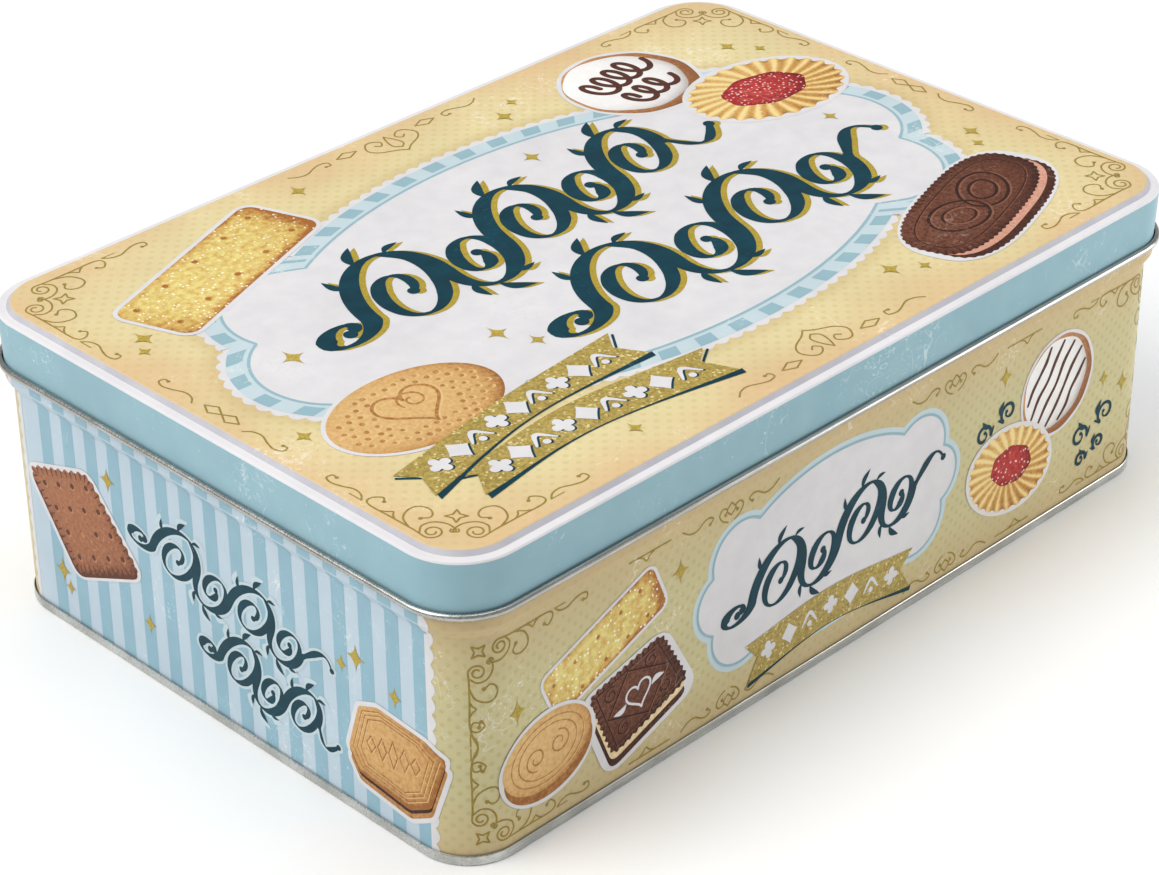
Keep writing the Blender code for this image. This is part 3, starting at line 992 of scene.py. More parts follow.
def shade_line(mesh, lower, drop, layer):
    """Dark line under a ribbon, thick at its ends and thin in the middle."""
    path = [spot for spot, _ in smooth(lower, 1.5)]
    count = len(path)
    last = None
    for i, spot in enumerate(path):
        t = abs(2 * i / (count - 1) - 1)
        thick = drop * (0.22 + 0.78 * t ** 2.2)
        pair = [mesh.verts.new((spot.x + 0.5, spot.y, layer)),
                mesh.verts.new((spot.x + 0.5 - 0.5 * t, spot.y - thick, layer))]
        if last:
            mesh.faces.new((last[0], last[1], pair[1], pair[0]))
        last = pair


def diamond(mesh, centre, half_wide, half_tall, angle, layer):
    """Small concave diamond."""
    turn = Matrix.Rotation(math.radians(angle), 2)
    outline = []
    for i in range(24):
        a = 2 * math.pi * i / 24
        x = half_wide * math.copysign(abs(math.cos(a)) ** 2.2, math.cos(a))
        y = half_tall * math.copysign(abs(math.sin(a)) ** 2.2, math.sin(a))
        outline.append(Vector(centre) + turn @ Vector((x, y)))
    patch(mesh, outline, layer, rings=2)


def ornament_row(mesh, upper, lower, count, tall, layer, shift=(0, 0)):
    """Row of leaves, diamonds and dots along the middle of a ribbon."""
    top = [spot for spot, _ in smooth(upper, 0.5)]
    foot = [spot for spot, _ in smooth(lower, 0.5)]
    for i in range(count):
        t = 0.13 + 0.74 * i / (count - 1)
        spots = []
        for nudge in (0.0, 0.02):
            a = top[min(int((t + nudge) * len(top)), len(top) - 1)]
            b = foot[min(int((t + nudge) * len(foot)), len(foot) - 1)]
            spots.append((a + b) / 2)
        ahead = spots[1] - spots[0]
        angle = math.degrees(math.atan2(ahead.y, ahead.x))
        spot = spots[0] + Vector(shift)
        if i % 3 == 1:
            diamond(mesh, spot, tall * 0.55, tall * 0.62, angle, layer)
        elif i % 3 == 0:
            for turn in (0, 90, 180, 270):
                a = math.radians(angle + turn)
                ball(mesh, spot + tall * 0.3 * Vector((math.cos(a), math.sin(a))), tall * 0.2, layer)
            diamond(mesh, spot, tall * 0.3, tall * 0.3, angle + 45, layer)
        else:
            chevron = [tuple(spot + Vector((tall * x, tall * y)))
                       for x, y in ((-0.5, -0.3), (0, 0.3), (0.5, -0.3))]
            stroke(mesh, chevron, [tall * 0.1, tall * 0.24, tall * 0.1], layer, 0.3)
            ball(mesh, spot + Vector((0, -tall * 0.3)), tall * 0.16, layer)


LID_RIBBONS = (
    (((-99, -42), (-65, -36), (-29.5, -32.6)), ((-98, -53.3), (-65, -45.6), (-29, -44.5)),
     ((-95.5, -46.5), (-33, -37.6)), 9),
    (((-90, -51), (-57, -47), (-20, -51)), ((-91, -60), (-59, -57.6), (-21, -62.6)),
     ((-87, -53.5), (-24.5, -54.5)), 9),
)
FRONT_RIBBON = (((-31, 16), (-4, 18.5), (24, 15.5)), ((-30, 6), (-4, 9), (23.5, 5.5)),
                ((-27, 11.5), (20, 11.5)), 7)


def lid_ribbons(mesh):
    for number, (upper, lower, notches, _) in enumerate(LID_RIBBONS):
        ribbon(mesh, upper, lower, notches, 8.5 - number)


def lid_ribbon_shades(mesh):
    for number, (upper, lower, notches, _) in enumerate(LID_RIBBONS):
        shade_line(mesh, lower, 1.7, 8.0 - number)
        end = upper[0]
        stroke(mesh, [(end[0] - 0.2, end[1] - 1.2), (notches[0][0] - 0.2, notches[0][1])], 0.6, 6.9)
        end = upper[2]
        stroke(mesh, [(end[0] + 0.2, end[1] - 1.2), (notches[1][0] + 0.6, notches[1][1] - 0.4)], 0.6, 6.9)


def lid_ribbon_ornaments(mesh, layer, shift):
    for upper, lower, notches, count in LID_RIBBONS:
        ornament_row(mesh, upper, lower, count, 5.6, layer, shift)


print_on_lid("lid_ribbons", lid_ribbons, ribbon_gold)
print_on_lid("lid_ribbon_shades", lid_ribbon_shades, teal_ink)
print_on_lid("lid_ribbon_ornament_shades", lambda mesh: lid_ribbon_ornaments(mesh, 9, (0.35, -0.35)),
             teal_ink)
print_on_lid("lid_ribbon_ornaments", lambda mesh: lid_ribbon_ornaments(mesh, 9.6, (0, 0)), cloud_white)


def front_ribbon(mesh):
    upper, lower, notches, _ = FRONT_RIBBON
    ribbon(mesh, upper, lower, notches, 6)


def front_ribbon_shade(mesh):
    shade_line(mesh, FRONT_RIBBON[1], 1.2, 5.6)


def front_ribbon_ornaments(mesh):
    ornament_row(mesh, FRONT_RIBBON[0], FRONT_RIBBON[1], 7, 4.6, 7)


print_on_walls("front_ribbon", front_ribbon, LONG_SIDES, ribbon_gold)
print_on_walls("front_ribbon_shade", front_ribbon_shade, LONG_SIDES, teal_ink)
print_on_walls("front_ribbon_ornaments", front_ribbon_ornaments, LONG_SIDES, cloud_white)

# ------------------------------------------------------------------ biscuits
# Biscuits are pictured on every side, each cut out with a narrow white edge. Their bodies are baked
# tones that darken to the rim, with crumb, sugar and piping printed over them.


def slab(centre, wide, tall, corner, angle, steps=28, wave=0.0, waves=0):
    """Outline of a rounded bar, turned by an angle in degrees, with a wavy edge if asked for."""
    turn = Matrix.Rotation(math.radians(angle), 2)
    half_x, half_y = wide / 2 - corner, tall / 2 - corner
    points = []
    for quarter, (sx, sy) in enumerate(((1, 1), (-1, 1), (-1, -1), (1, -1))):
        for i in range(steps // 4 + 1):
            a = math.pi / 2 * (quarter + i / (steps // 4))
            points.append(Vector((sx * half_x + corner * math.cos(a), sy * half_y + corner * math.sin(a))))
    even = even_outline(points, 200 if waves else 120)
    if waves:
        even = grow(even, [wave * math.cos(2 * math.pi * waves * i / len(even)) for i in range(len(even))])
    return [Vector(centre) + turn @ p for p in even]


def even_outline(points, count):
    """A closed outline divided into equal lengths."""
    closed = points + points[:1]
    lengths = [0.0]
    for a, b in zip(closed, closed[1:]):
        lengths.append(lengths[-1] + (b - a).length)
    even = []
    k = 0
    for i in range(count):
        wanted = lengths[-1] * i / count
        while lengths[k + 1] < wanted:
            k += 1
        span = lengths[k + 1] - lengths[k] or 1.0
        even.append(closed[k].lerp(closed[k + 1], (wanted - lengths[k]) / span))
    return even


def grow(outline, distance):
    """An outline moved outwards by one distance, or by a distance for each point."""
    count = len(outline)
    moved = []
    for i, point in enumerate(outline):
        ahead = (outline[(i + 1) % count] - outline[i - 1]).normalized()
        step = distance[i] if isinstance(distance, list) else distance
        moved.append(point + Vector((ahead.y, -ahead.x)) * step)
    return moved


def oval(centre, half_wide, half_tall, angle=0.0, wave=0.0, waves=0, steps=120, square=1.0):
    """Outline of an oval, with a wavy edge if asked for."""
    turn = Matrix.Rotation(math.radians(angle), 2)
    points = []
    for i in range(steps):
        a = 2 * math.pi * i / steps
        swell = 1 + wave * math.cos(waves * a)
        x = math.copysign(abs(math.cos(a)) ** square, math.cos(a))
        y = math.copysign(abs(math.sin(a)) ** square, math.sin(a))
        points.append(Vector(centre) + turn @ Vector((half_wide * swell * x, half_tall * swell * y)))
    return points


def shifted(outline, dx, dy):
    return [p + Vector((dx, dy)) for p in outline]


def crumb(name, pale, golden, brown, crumb_mm, grain, sugar=0.0, sugar_colour="#fbf3dc"):
    """Baked crumb: tones from the dough's pale middle to its browned rim, broken up by a crumb of
    the given size, with glints of sugar about 0.7 mm across where asked for."""
    material, tree, shader = new_finish(name, Specular_IOR_Level=0.16)
    place = add(tree, "ShaderNodeTexCoord").outputs["Object"]
    tone = add(tree, "ShaderNodeAttribute", attribute_name="tone")
    fine = add(tree, "ShaderNodeTexNoise", {"Vector": place, "Scale": 1000 / crumb_mm, "Detail": 4.0,
                                            "Roughness": 0.65})
    broken = add(tree, "ShaderNodeMapRange", {"Value": fine.outputs["Fac"], 1: 0.25, 2: 0.75, 3: -grain,
                                              4: grain})
    value = add(tree, "ShaderNodeMath", {0: tone.outputs["Fac"], 1: broken.outputs[0]})
    first = add(tree, "ShaderNodeMapRange", {"Value": value.outputs[0], 1: 0.0, 2: 0.5})
    second = add(tree, "ShaderNodeMapRange", {"Value": value.outputs[0], 1: 0.5, 2: 1.0})
    dough = add(tree, "ShaderNodeMix", {"Factor": first.outputs[0], 6: shade(pale), 7: shade(golden)},
                data_type="RGBA")
    baked = add(tree, "ShaderNodeMix", {"Factor": second.outputs[0], 6: dough.outputs[2], 7: shade(brown)},
                data_type="RGBA")
    colour = baked.outputs[2]
    if sugar:
        grains = add(tree, "ShaderNodeTexVoronoi", {"Vector": place, "Scale": 1000 / 1.1})
        near = add(tree, "ShaderNodeMapRange", {"Value": grains.outputs["Distance"], 1: 0.3, 2: 0.2})
        kept = add(tree, "ShaderNodeSeparateColor", {0: grains.outputs["Color"]})
        some = add(tree, "ShaderNodeMath", {0: kept.outputs[0], 1: sugar}, operation="LESS_THAN")
        glint = add(tree, "ShaderNodeMath", {0: near.outputs[0], 1: some.outputs[0]}, operation="MULTIPLY")
        colour = add(tree, "ShaderNodeMix", {"Factor": glint.outputs[0], 6: colour, 7: shade(sugar_colour)},
                     data_type="RGBA").outputs[2]
    varnish(tree, shader, colour, 0.15, "#efe6cf")
    return material


def rim_tone(base, rim, lean, power=5.0, centre=(0, 0), reach=20.0):
    """Tones that rise to the rim, more to the lower right than to the upper left."""
    def tone_at(point, depth):
        side = (Vector(point) - Vector(centre)).dot(Vector((0.7, -0.7))) / reach
        return base + (rim + lean * side) * (1 - depth) ** power + 0.1 * side
    return tone_at


def pressed(mesh, points, width, layer, tone=0.95, light=-0.15):
    """Line pressed into a biscuit: a dark groove with a light edge at its upper left."""
    stroke(mesh, [(p[0] + width * 0.55, p[1] - width * 0.55) for p in points], width * 0.8, layer, 0.5, light)
    stroke(mesh, points, width, layer + 0.3, 0.5, tone)


def crimp_ticks(mesh, outline, count, length, layer):
    """Short grooves pressed round a biscuit's edge."""
    even = even_outline(outline, count * 3)
    inner = grow(even, -length)
    for i in range(0, count * 3, 3):
        stroke(mesh, [tuple(even[i].lerp(inner[i], 0.12)), tuple(inner[i])], [0.5, 0.25], layer, 0.6, 1.05)


def shortbread(mesh, centre, wide, tall, angle, holes, layer, hole):
    outline = slab(centre, wide, tall, tall * 0.16, angle)
    patch(mesh, outline, layer, rim_tone(0.2, 0.75, 0.7, 7.0, centre, wide / 2), 10)
    for x, y in holes:
        ball(mesh, (x + hole * 0.25, y - hole * 0.25), hole * 1.35, layer + 0.3, 14, 0.42)
        ball(mesh, (x, y), hole, layer + 0.6, 14, 1.0)


def petal_biscuit(mesh, centre, half_wide, half_tall, angle, petals, layer):
    outline = oval(centre, half_wide, half_tall, angle, 0.035, petals, petals * 10)

    def pleats(point, depth):
        local = Matrix.Rotation(math.radians(-angle), 2) @ (Vector(point) - Vector(centre))
        around = math.atan2(local.y / half_tall, local.x / half_wide)
        fold = math.cos(petals * around + 5.5 * depth)
        side = local.normalized().dot(Vector((0.7, -0.7))) if local.length else 0.0
        groove = (0.42 * fold + 0.1 * fold * fold) * (1 - 0.6 * depth)
        return 0.34 - groove + 0.18 * side + 1.6 * max(0.0, 0.12 - depth)
    patch(mesh, outline, layer, pleats, 16)


def drop_edge(mesh, outline, dx, dy, layer, tone):
    """The side of a biscuit, seen below its top face."""
    patch(mesh, shifted(outline, dx, dy), layer, lambda point, depth: tone, 2)


LID_BAR = ((-68, 48), 56, 20, 20.0)
LID_BAR_HOLES = ((-92.5, 46), (-81.5, 50), (-70, 54), (-58.5, 58), (-48.5, 61.5), (-89, 35.5), (-78.5, 39),
                 (-67, 43), (-56, 46.5), (-45.5, 50))
FRONT_BAR = ((-73, 38.5), 34, 12, 22.0)
FRONT_BAR_HOLES = ((-87.5, 35.2), (-81.5, 38), (-75, 40.7), (-68.5, 43.5), (-63, 46), (-85.5, 28.8),
                   (-79.5, 31), (-72.8, 34.2), (-66.5, 36.7), (-60.7, 39))
LID_ICED = ((61.5, 49), 17.2, 16.5)
FRONT_ICED = ((73.5, 36.5), 12.5, 12.6)
LID_PETAL = ((82, 23.4), 21.0, 14.2, -8.0, 26)
FRONT_PETAL = ((57.5, 21), 15.0, 10.5, -20.0, 24)
LID_TAN = ((-78, -26), 21.0, 14.0)
FRONT_TAN = ((-89.5, 20.5), 12.4, 9.0, 8.0)
LID_DARK = ((70, -49.5), 52, 22.5, 0.72, 18.0)
FRONT_DARK = [Vector(p) for p in ((-48.5, 17.5), (-56.5, 32.5), (-78, 27), (-71, 9))]
SIDE_DOCKED = [Vector(p) for p in ((-26, 26), (-42, 44.5), (-63.5, 37.5), (-49, 16))]
OCTAGON = [Vector((54.0 + x, 20.0 + y)) for x, y in (
    (14.0, 5.5), (9.3, 8.7), (-4.7, 9.8), (-10.3, 7.5), (-13.8, -4.0), (-11.0, -8.5), (4.0, -10.3),
    (10.3, -6.7))]


def crimped(corners, wave, waves, soften=0.12):
    """Outline through corners, with rounded corners and a crimped edge."""
    count = len(corners)
    points = []
    for i in range(count):
        before, here, after = corners[i - 1], corners[i], corners[(i + 1) % count]
        a, b = here.lerp(before, soften), here.lerp(after, soften)
        points += [a.lerp(here, t).lerp(here.lerp(b, t), t) for t in (0.0, 0.25, 0.5, 0.75, 1.0)]
    even = even_outline(points, 320)
    return grow(even, [wave * math.cos(2 * math.pi * waves * i / 320) for i in range(320)])


FRONT_DARK_TOP = crimped(FRONT_DARK, 0.3, 40)
FRONT_DARK_PLAIN = crimped(FRONT_DARK, 0.0, 1)
SIDE_DOCKED_PLAIN = crimped(SIDE_DOCKED, 0.0, 1)
OCTAGON_PLAIN = crimped(OCTAGON, 0.0, 1, 0.1)
SIDE_DOCKED_TOP = crimped(SIDE_DOCKED, 0.35, 36)


def lid_cutouts(mesh):
    patch(mesh, grow(slab(LID_BAR[0], LID_BAR[1], LID_BAR[2], 3.2, LID_BAR[3]), 1.1), 4.5)
    patch(mesh, grow(oval(*LID_ICED), 1.1), 4.5)
    patch(mesh, oval(LID_PETAL[0], LID_PETAL[1] + 1.6, LID_PETAL[2] + 1.5, LID_PETAL[3]), 5.2)
    patch(mesh, grow(oval(*LID_TAN), 1.0), 4.5)
    patch(mesh, grow(oval((70.7, -51.3), 27.0, 13.0, 18.0, square=0.72), 1.0), 4.5)


def front_cutouts(mesh):
    patch(mesh, grow(slab(FRONT_BAR[0], FRONT_BAR[1], FRONT_BAR[2], 2.0, FRONT_BAR[3]), 0.8), 4.5)
    patch(mesh, grow(shifted(FRONT_DARK_PLAIN, -0.2, -1.8), 2.6), 6.4)
    patch(mesh, grow(oval((-89.3, 19.4), 12.6, 10.2, 8.0), 0.9), 9.6)
    patch(mesh, grow(oval(*FRONT_ICED), 0.8), 4.5)
    patch(mesh, oval(FRONT_PETAL[0], FRONT_PETAL[1] + 1.2, FRONT_PETAL[2] + 1.1, FRONT_PETAL[3]), 6.4)


def side_cutouts(mesh):
    patch(mesh, grow(shifted(SIDE_DOCKED_PLAIN, 0, -0.4), 1.4), 5.4)
    patch(mesh, grow(shifted(OCTAGON_PLAIN, 0.4, -2.8), 1.1), 5.3)
    patch(mesh, grow(OCTAGON_PLAIN, 1.1), 5.5)


print_on_lid("lid_biscuit_edges", lid_cutouts, cloud_white)
print_on_walls("front_biscuit_edges", front_cutouts, LONG_SIDES, cloud_white)
print_on_walls("side_biscuit_edges", side_cutouts, SHORT_SIDES, cloud_white)

shortbread_crumb = crumb("shortbread, baked sugar crumb", "#e3d384", "#cfa85a", "#a3662e", 1.6, 0.5, 0.5)
print_on_lid("lid_shortbread", lambda mesh: shortbread(mesh, *LID_BAR, LID_BAR_HOLES, 5.5, 0.75),
             shortbread_crumb)
print_on_walls("front_shortbread", lambda mesh: shortbread(mesh, *FRONT_BAR, FRONT_BAR_HOLES, 5.2, 0.5),
               LONG_SIDES, shortbread_crumb)

golden_crumb = crumb("piped dough, baked golden", "#ecd494", "#cf9f56", "#94602b", 0.8, 0.22)
print_on_lid("lid_petal_biscuit", lambda mesh: petal_biscuit(mesh, *LID_PETAL, 6.2), golden_crumb)
print_on_walls("front_petal_biscuit", lambda mesh: petal_biscuit(mesh, *FRONT_PETAL, 7.2), LONG_SIDES,
               golden_crumb)

jam = crumb("jam, boiled and sugared", "#c9473f", "#a42b2c", "#711618", 1.3, 0.45, 0.85, "#efc4bd")


def jam_spot(mesh, centre, half_wide, half_tall, angle, layer):
    patch(mesh, oval(centre, half_wide, half_tall, angle, 0.03, 7),
          layer, rim_tone(0.35, 0.5, 0.2, 4.0, centre, half_wide), 8)


print_on_lid("lid_jam", lambda mesh: jam_spot(mesh, (81.6, 23.6), 11.8, 7.4, -6.0, 7.0), jam)
print_on_walls("front_jam", lambda mesh: jam_spot(mesh, (58, 21.8), 7.4, 5.0, -16.0, 8.0), LONG_SIDES,
               jam)

tan_crumb = crumb("rolled biscuit, baked tan", "#e0bb80", "#c99a5e", "#98602f", 1.0, 0.3)


def heart_points(centre, half, angle=0.0):
    """Heart drawn as one closed line."""
    turn = Matrix.Rotation(math.radians(angle), 2)
    points = []
    for i in range(41):
        a = 2 * math.pi * i / 40
        x = math.sin(a) ** 3
        y = (13 * math.cos(a) - 5 * math.cos(2 * a) - 2 * math.cos(3 * a) - math.cos(4 * a)) / 16
        points.append(tuple(Vector(centre) + turn @ Vector((x * half, y * half))))
    return points


def lid_tan_biscuit(mesh):
    centre, half_wide, half_tall = LID_TAN
    patch(mesh, oval(centre, half_wide, half_tall), 5.5, rim_tone(0.2, 0.45, 0.35, 6.0, centre, half_wide), 9)
    dice = random.Random(5)
    for row in range(-5, 6):
        for column in range(-7, 8):
            x, y = 2.7 * column + 1.35 * (row % 2), 2.45 * row
            on_face = (x / (half_wide - 2.5)) ** 2 + (y / (half_tall - 2)) ** 2 < 1
            off_heart = (x / 9.5) ** 2 + ((y - 1.5) / 8) ** 2 > 1
            if on_face and off_heart:
                spot = (centre[0] + x + dice.uniform(-0.3, 0.3), centre[1] + y + dice.uniform(-0.3, 0.3))
                ball(mesh, (spot[0] + 0.3, spot[1] - 0.3), 0.75, 5.8, 10, 0.0)
                ball(mesh, spot, dice.uniform(0.5, 0.7), 6.0, 10, 0.72)
    pressed(mesh, heart_points((-78, -24.6), 7.8), 0.75, 6.1, 0.8, 0.0)
    pressed(mesh, coil((-76.4, -23.2), 3.6, 0.9, 200, -1.3), 0.6, 6.1, 0.75, 0.0)


def front_tan_biscuit(mesh):
    centre, half_wide, half_tall, angle = FRONT_TAN
    drop_edge(mesh, oval((centre[0] + 0.3, centre[1] - 2.2), half_wide, half_tall, angle), 0, 0, 10.4, 0.95)
    patch(mesh, oval(centre, half_wide, half_tall, angle), 10.8,
          rim_tone(0.15, 0.35, 0.3, 6.0, centre, half_wide), 8)
    for scale in (0.82, 0.66):
        ring_line = [tuple(p) for p in oval(centre, half_wide * scale, half_tall * scale, angle, steps=40)]
        pressed(mesh, ring_line + ring_line[:1], 0.35, 11.2, 0.7, 0.0)
    for sign in (1, -1):
        spiral = coil((centre[0] + sign * 3.2, centre[1] + sign * 0.6), 3.0, 0.8, 90 * sign, -1.3)
        pressed(mesh, spiral, 0.4, 11.6, 0.75, 0.0)


print_on_lid("lid_tan_biscuit", lid_tan_biscuit, tan_crumb)
print_on_walls("front_tan_biscuit", front_tan_biscuit, LONG_SIDES, tan_crumb)


def octagon_biscuit(mesh):
    centre = sum(OCTAGON, Vector((0, 0))) / 8
    drop_edge(mesh, OCTAGON_PLAIN, 0.4, -2.8, 5.9, 0.75)
    drop_edge(mesh, OCTAGON_PLAIN, 0.1, -0.8, 6.7, 1.0)
    patch(mesh, OCTAGON_PLAIN, 7.0, rim_tone(0.42, 0.3, 0.3, 5.0, centre, 14), 9)
    for scale in (0.9, 0.81, 0.72):
        line = [tuple(centre + (p - centre) * scale) for p in OCTAGON]
        for a, b in zip(line, line[1:] + line[:1]):
            pressed(mesh, [a, b], 0.3, 7.2, 0.85, -0.05)
    for k in range(-2, 3):
        spot = Vector((centre.x + 3.3 * k, centre.y + 0.3 * k))
        tall = 3.4 - 0.7 * abs(k)
        line = [tuple(spot + Vector(p)) for p in ((0, tall), (1.3, 0), (0, -tall), (-1.3, 0), (0, tall))]
        for a, b in zip(line, line[1:]):
            pressed(mesh, [a, b], 0.35, 7.8, 0.9, -0.05)


def docked_biscuit(mesh):
    centre = sum(SIDE_DOCKED, Vector((0, 0))) / 4
    drop_edge(mesh, SIDE_DOCKED_PLAIN, 0.1, -1.1, 5.9, 1.2)
    crimp_ticks(mesh, grow(SIDE_DOCKED_PLAIN, -0.2), 50, 1.5, 6.4)
    patch(mesh, SIDE_DOCKED_TOP, 6.2, rim_tone(0.35, 0.3, 0.2, 6.0, centre, 18), 8)
    a, b, c, d = SIDE_DOCKED
    for row in range(4):
        for column in range(4):
            u, v = (column + 0.65) / 4.3, (row + 0.65) / 4.3
            spot = a.lerp(b, u).lerp(d.lerp(c, u), v)
            ball(mesh, spot + Vector((0.25, -0.25)), 0.85, 6.5, 12, 0.0)
            ball(mesh, spot, 0.7, 6.8, 12, 1.25)


def octagon_filling(mesh):
    drop_edge(mesh, grow(OCTAGON_PLAIN, -0.3), 0.3, -1.9, 6.3, 0.9)


brown_crumb = crumb("malt biscuit, baked brown", "#b67c58", "#965f41", "#5c3321", 0.8, 0.35)
print_on_walls("side_docked_biscuit", docked_biscuit, SHORT_SIDES, brown_crumb)
print_on_walls("side_octagon_biscuit", octagon_biscuit, SHORT_SIDES, tan_crumb)

dark_crumb = crumb("chocolate biscuit, dark cocoa crumb", "#8a5a45", "#5c3324", "#331a13", 0.7, 0.35)
print_on_walls("side_octagon_filling", octagon_filling, SHORT_SIDES, dark_crumb)
filling_pink = plain_ink("filling pink, creamed sugar", "#d6a08a", 0.1, "#ecd6c6", "#c58c76", 0.7)
filling_cream = plain_ink("filling cream, creamed sugar", "#ecd9b0", 0.1, "#f4ead0", "#dcc294", 0.7)


def lid_dark_biscuit(mesh):
    centre, wide, tall, square, angle = LID_DARK
    under = (centre[0] + 1.4, centre[1] - 3.6)
    lower = even_outline(oval(under, wide / 2, tall / 2, angle, square=square), 300)
    lower = grow(lower, [0.18 * math.cos(2 * math.pi * 58 * i / 300) for i in range(300)])
    patch(mesh, lower, 5.2, lambda point, depth: 0.8, 3)
    top = even_outline(oval(centre, wide / 2, tall / 2, angle, square=square), 300)
    crimp_ticks(mesh, top, 64, 1.7, 6.5)
    patch(mesh, grow(top, [0.22 * math.cos(2 * math.pi * 64 * i / 300) for i in range(300)]), 6.2,
          rim_tone(0.4, 0.3, 0.3, 7.0, centre, 26), 9)
    inner = [tuple(p) for p in oval(centre, wide / 2 - 3, tall / 2 - 3, angle, square=square, steps=40)]
    pressed(mesh, inner + inner[:1], 0.35, 6.6, 1.0, 0.15)
    turn = Matrix.Rotation(math.radians(angle), 2)
    for side in (-1, 1):
        spot = Vector(centre) + turn @ Vector((side * 7.2, 0))
        for scale in (1.0, 0.55):
            line = [tuple(p) for p in oval(spot, 8.4 * scale, 5.8 * scale, angle + side * 16, steps=30)]
            pressed(mesh, line + line[:1], 0.75, 7.0, 1.1, 0.05)


def lid_dark_filling(mesh):
    centre, wide, tall, square, angle = LID_DARK
    middle = (centre[0] + 0.9, centre[1] - 1.9)
    patch(mesh, oval(middle, wide / 2 - 0.4, tall / 2 - 0.2, angle, square=square), 5.8, rings=3)


def front_dark_biscuit(mesh):
    centre = sum(FRONT_DARK, Vector((0, 0))) / 4
    drop_edge(mesh, FRONT_DARK_PLAIN, -0.4, -3.4, 7.2, 0.8)
    patch(mesh, FRONT_DARK_TOP, 8.4, rim_tone(0.42, 0.2, 0.3, 7.0, centre, 15), 8)
    crimp_ticks(mesh, grow(FRONT_DARK_PLAIN, -0.2), 46, 1.1, 8.6)
    corner_tips = [centre + (p - centre) * 0.74 for p in FRONT_DARK]
    for tip in corner_tips:
        spot = tip.lerp(centre, 0.26)
        curl_line = [tuple(spot + Vector(p)) for p in coil((0, 0), 2.1, 0.5, 60, 1.3)]
        pressed(mesh, curl_line, 0.35, 9.4, 1.1, 0.05)
    frame_line = [tuple(centre + (p - centre) * 0.84) for p in FRONT_DARK]
    for a, b in zip(frame_line, frame_line[1:] + frame_line[:1]):
        pressed(mesh, [a, b], 0.35, 8.8, 1.0, 0.1)
    mids = [(FRONT_DARK[i] + FRONT_DARK[(i + 1) % 4]) / 2 for i in range(4)]
    for a, b in zip(mids, mids[1:] + mids[:1]):
        inner_side = [tuple(centre + (p - centre) * 0.8) for p in (a, b)]
        pressed(mesh, inner_side, 0.4, 9.2, 1.05, 0.05)


def front_dark_filling(mesh):
    drop_edge(mesh, grow(FRONT_DARK_PLAIN, -0.2), -0.3, -1.8, 7.8, 0)


def front_dark_heart(mesh):
    stroke(mesh, heart_points((-63.3, 21.0), 3.6, 12), 0.55, 10.0, 0.4)
    leaf(mesh, (-59.6, 21.2), 20, 4.0, 1.7, 10.0)
    leaf(mesh, (-67.0, 20.2), 200, 4.0, 1.7, 10.0)


print_on_lid("lid_dark_biscuit", lid_dark_biscuit, dark_crumb)
print_on_lid("lid_dark_filling", lid_dark_filling, filling_pink)
print_on_walls("front_dark_biscuit", front_dark_biscuit, LONG_SIDES, dark_crumb)
print_on_walls("front_dark_filling", front_dark_filling, LONG_SIDES, filling_cream)
print_on_walls("front_dark_icing", front_dark_heart, LONG_SIDES, cloud_white)


def iced_base(mesh, centre, half_wide, half_tall, layer):
    patch(mesh, oval(centre, half_wide, half_tall, wave=0.008, waves=9), layer,
          rim_tone(0.5, 0.3, 0.3, 3.0, centre, half_wide), 5)


def icing(mesh, centre, half_wide, half_tall, layer):
    """Poured icing: white, greying a little to the lower right where it turns down."""
    middle = (centre[0] - 0.06 * half_wide, centre[1] + 0.05 * half_tall)
    patch(mesh, oval(middle, half_wide * 0.9, half_tall * 0.9, wave=0.012, waves=7), layer,
          rim_tone(0.15, 0.45, 0.5, 5.0, centre, half_wide), 8)


def piped_loops(centre, loops, pitch, reach, angle):
    """Line of piped loops."""
    turn = Matrix.Rotation(math.radians(angle), 2)
    points = []
    for i in range(loops * 14 + 1):
        a = 2 * math.pi * i / 14
        x = pitch * (i / 14 - loops / 2) + reach * 0.62 * math.cos(a)
        points.append(tuple(Vector(centre) + turn @ Vector((x, reach * math.sin(a)))))
    return points


def lid_piping(mesh):
    stroke(mesh, piped_loops((61.0, 53.6), 4, 5.0, 4.2, 14), 1.6, 7.6, 0.4)
    stroke(mesh, piped_loops((62.5, 43.4), 3, 5.0, 3.6, 14), 1.6, 7.6, 0.4)


def front_drizzle(mesh):
    centre, half_wide, half_tall = FRONT_ICED
    for k in range(5):
        across = (-0.62 + 0.3 * k) * half_wide
        reach = math.sqrt(max(0.0, 0.7 - (across / half_wide) ** 2)) * half_tall
        ahead = Vector((0.55, 0.83))
        side = Vector((0.83, -0.55))
        middle = Vector((centre[0] - 0.6, centre[1] + 0.5)) + side * across
        line = [tuple(middle + ahead * reach * t + side * 0.35 * math.sin(5 * t + k))
                for t in (-1, -0.5, 0, 0.5, 1)]
        stroke(mesh, line, [0.8, 1.15, 0.95, 1.25, 0.8], 6.0, 0.5)


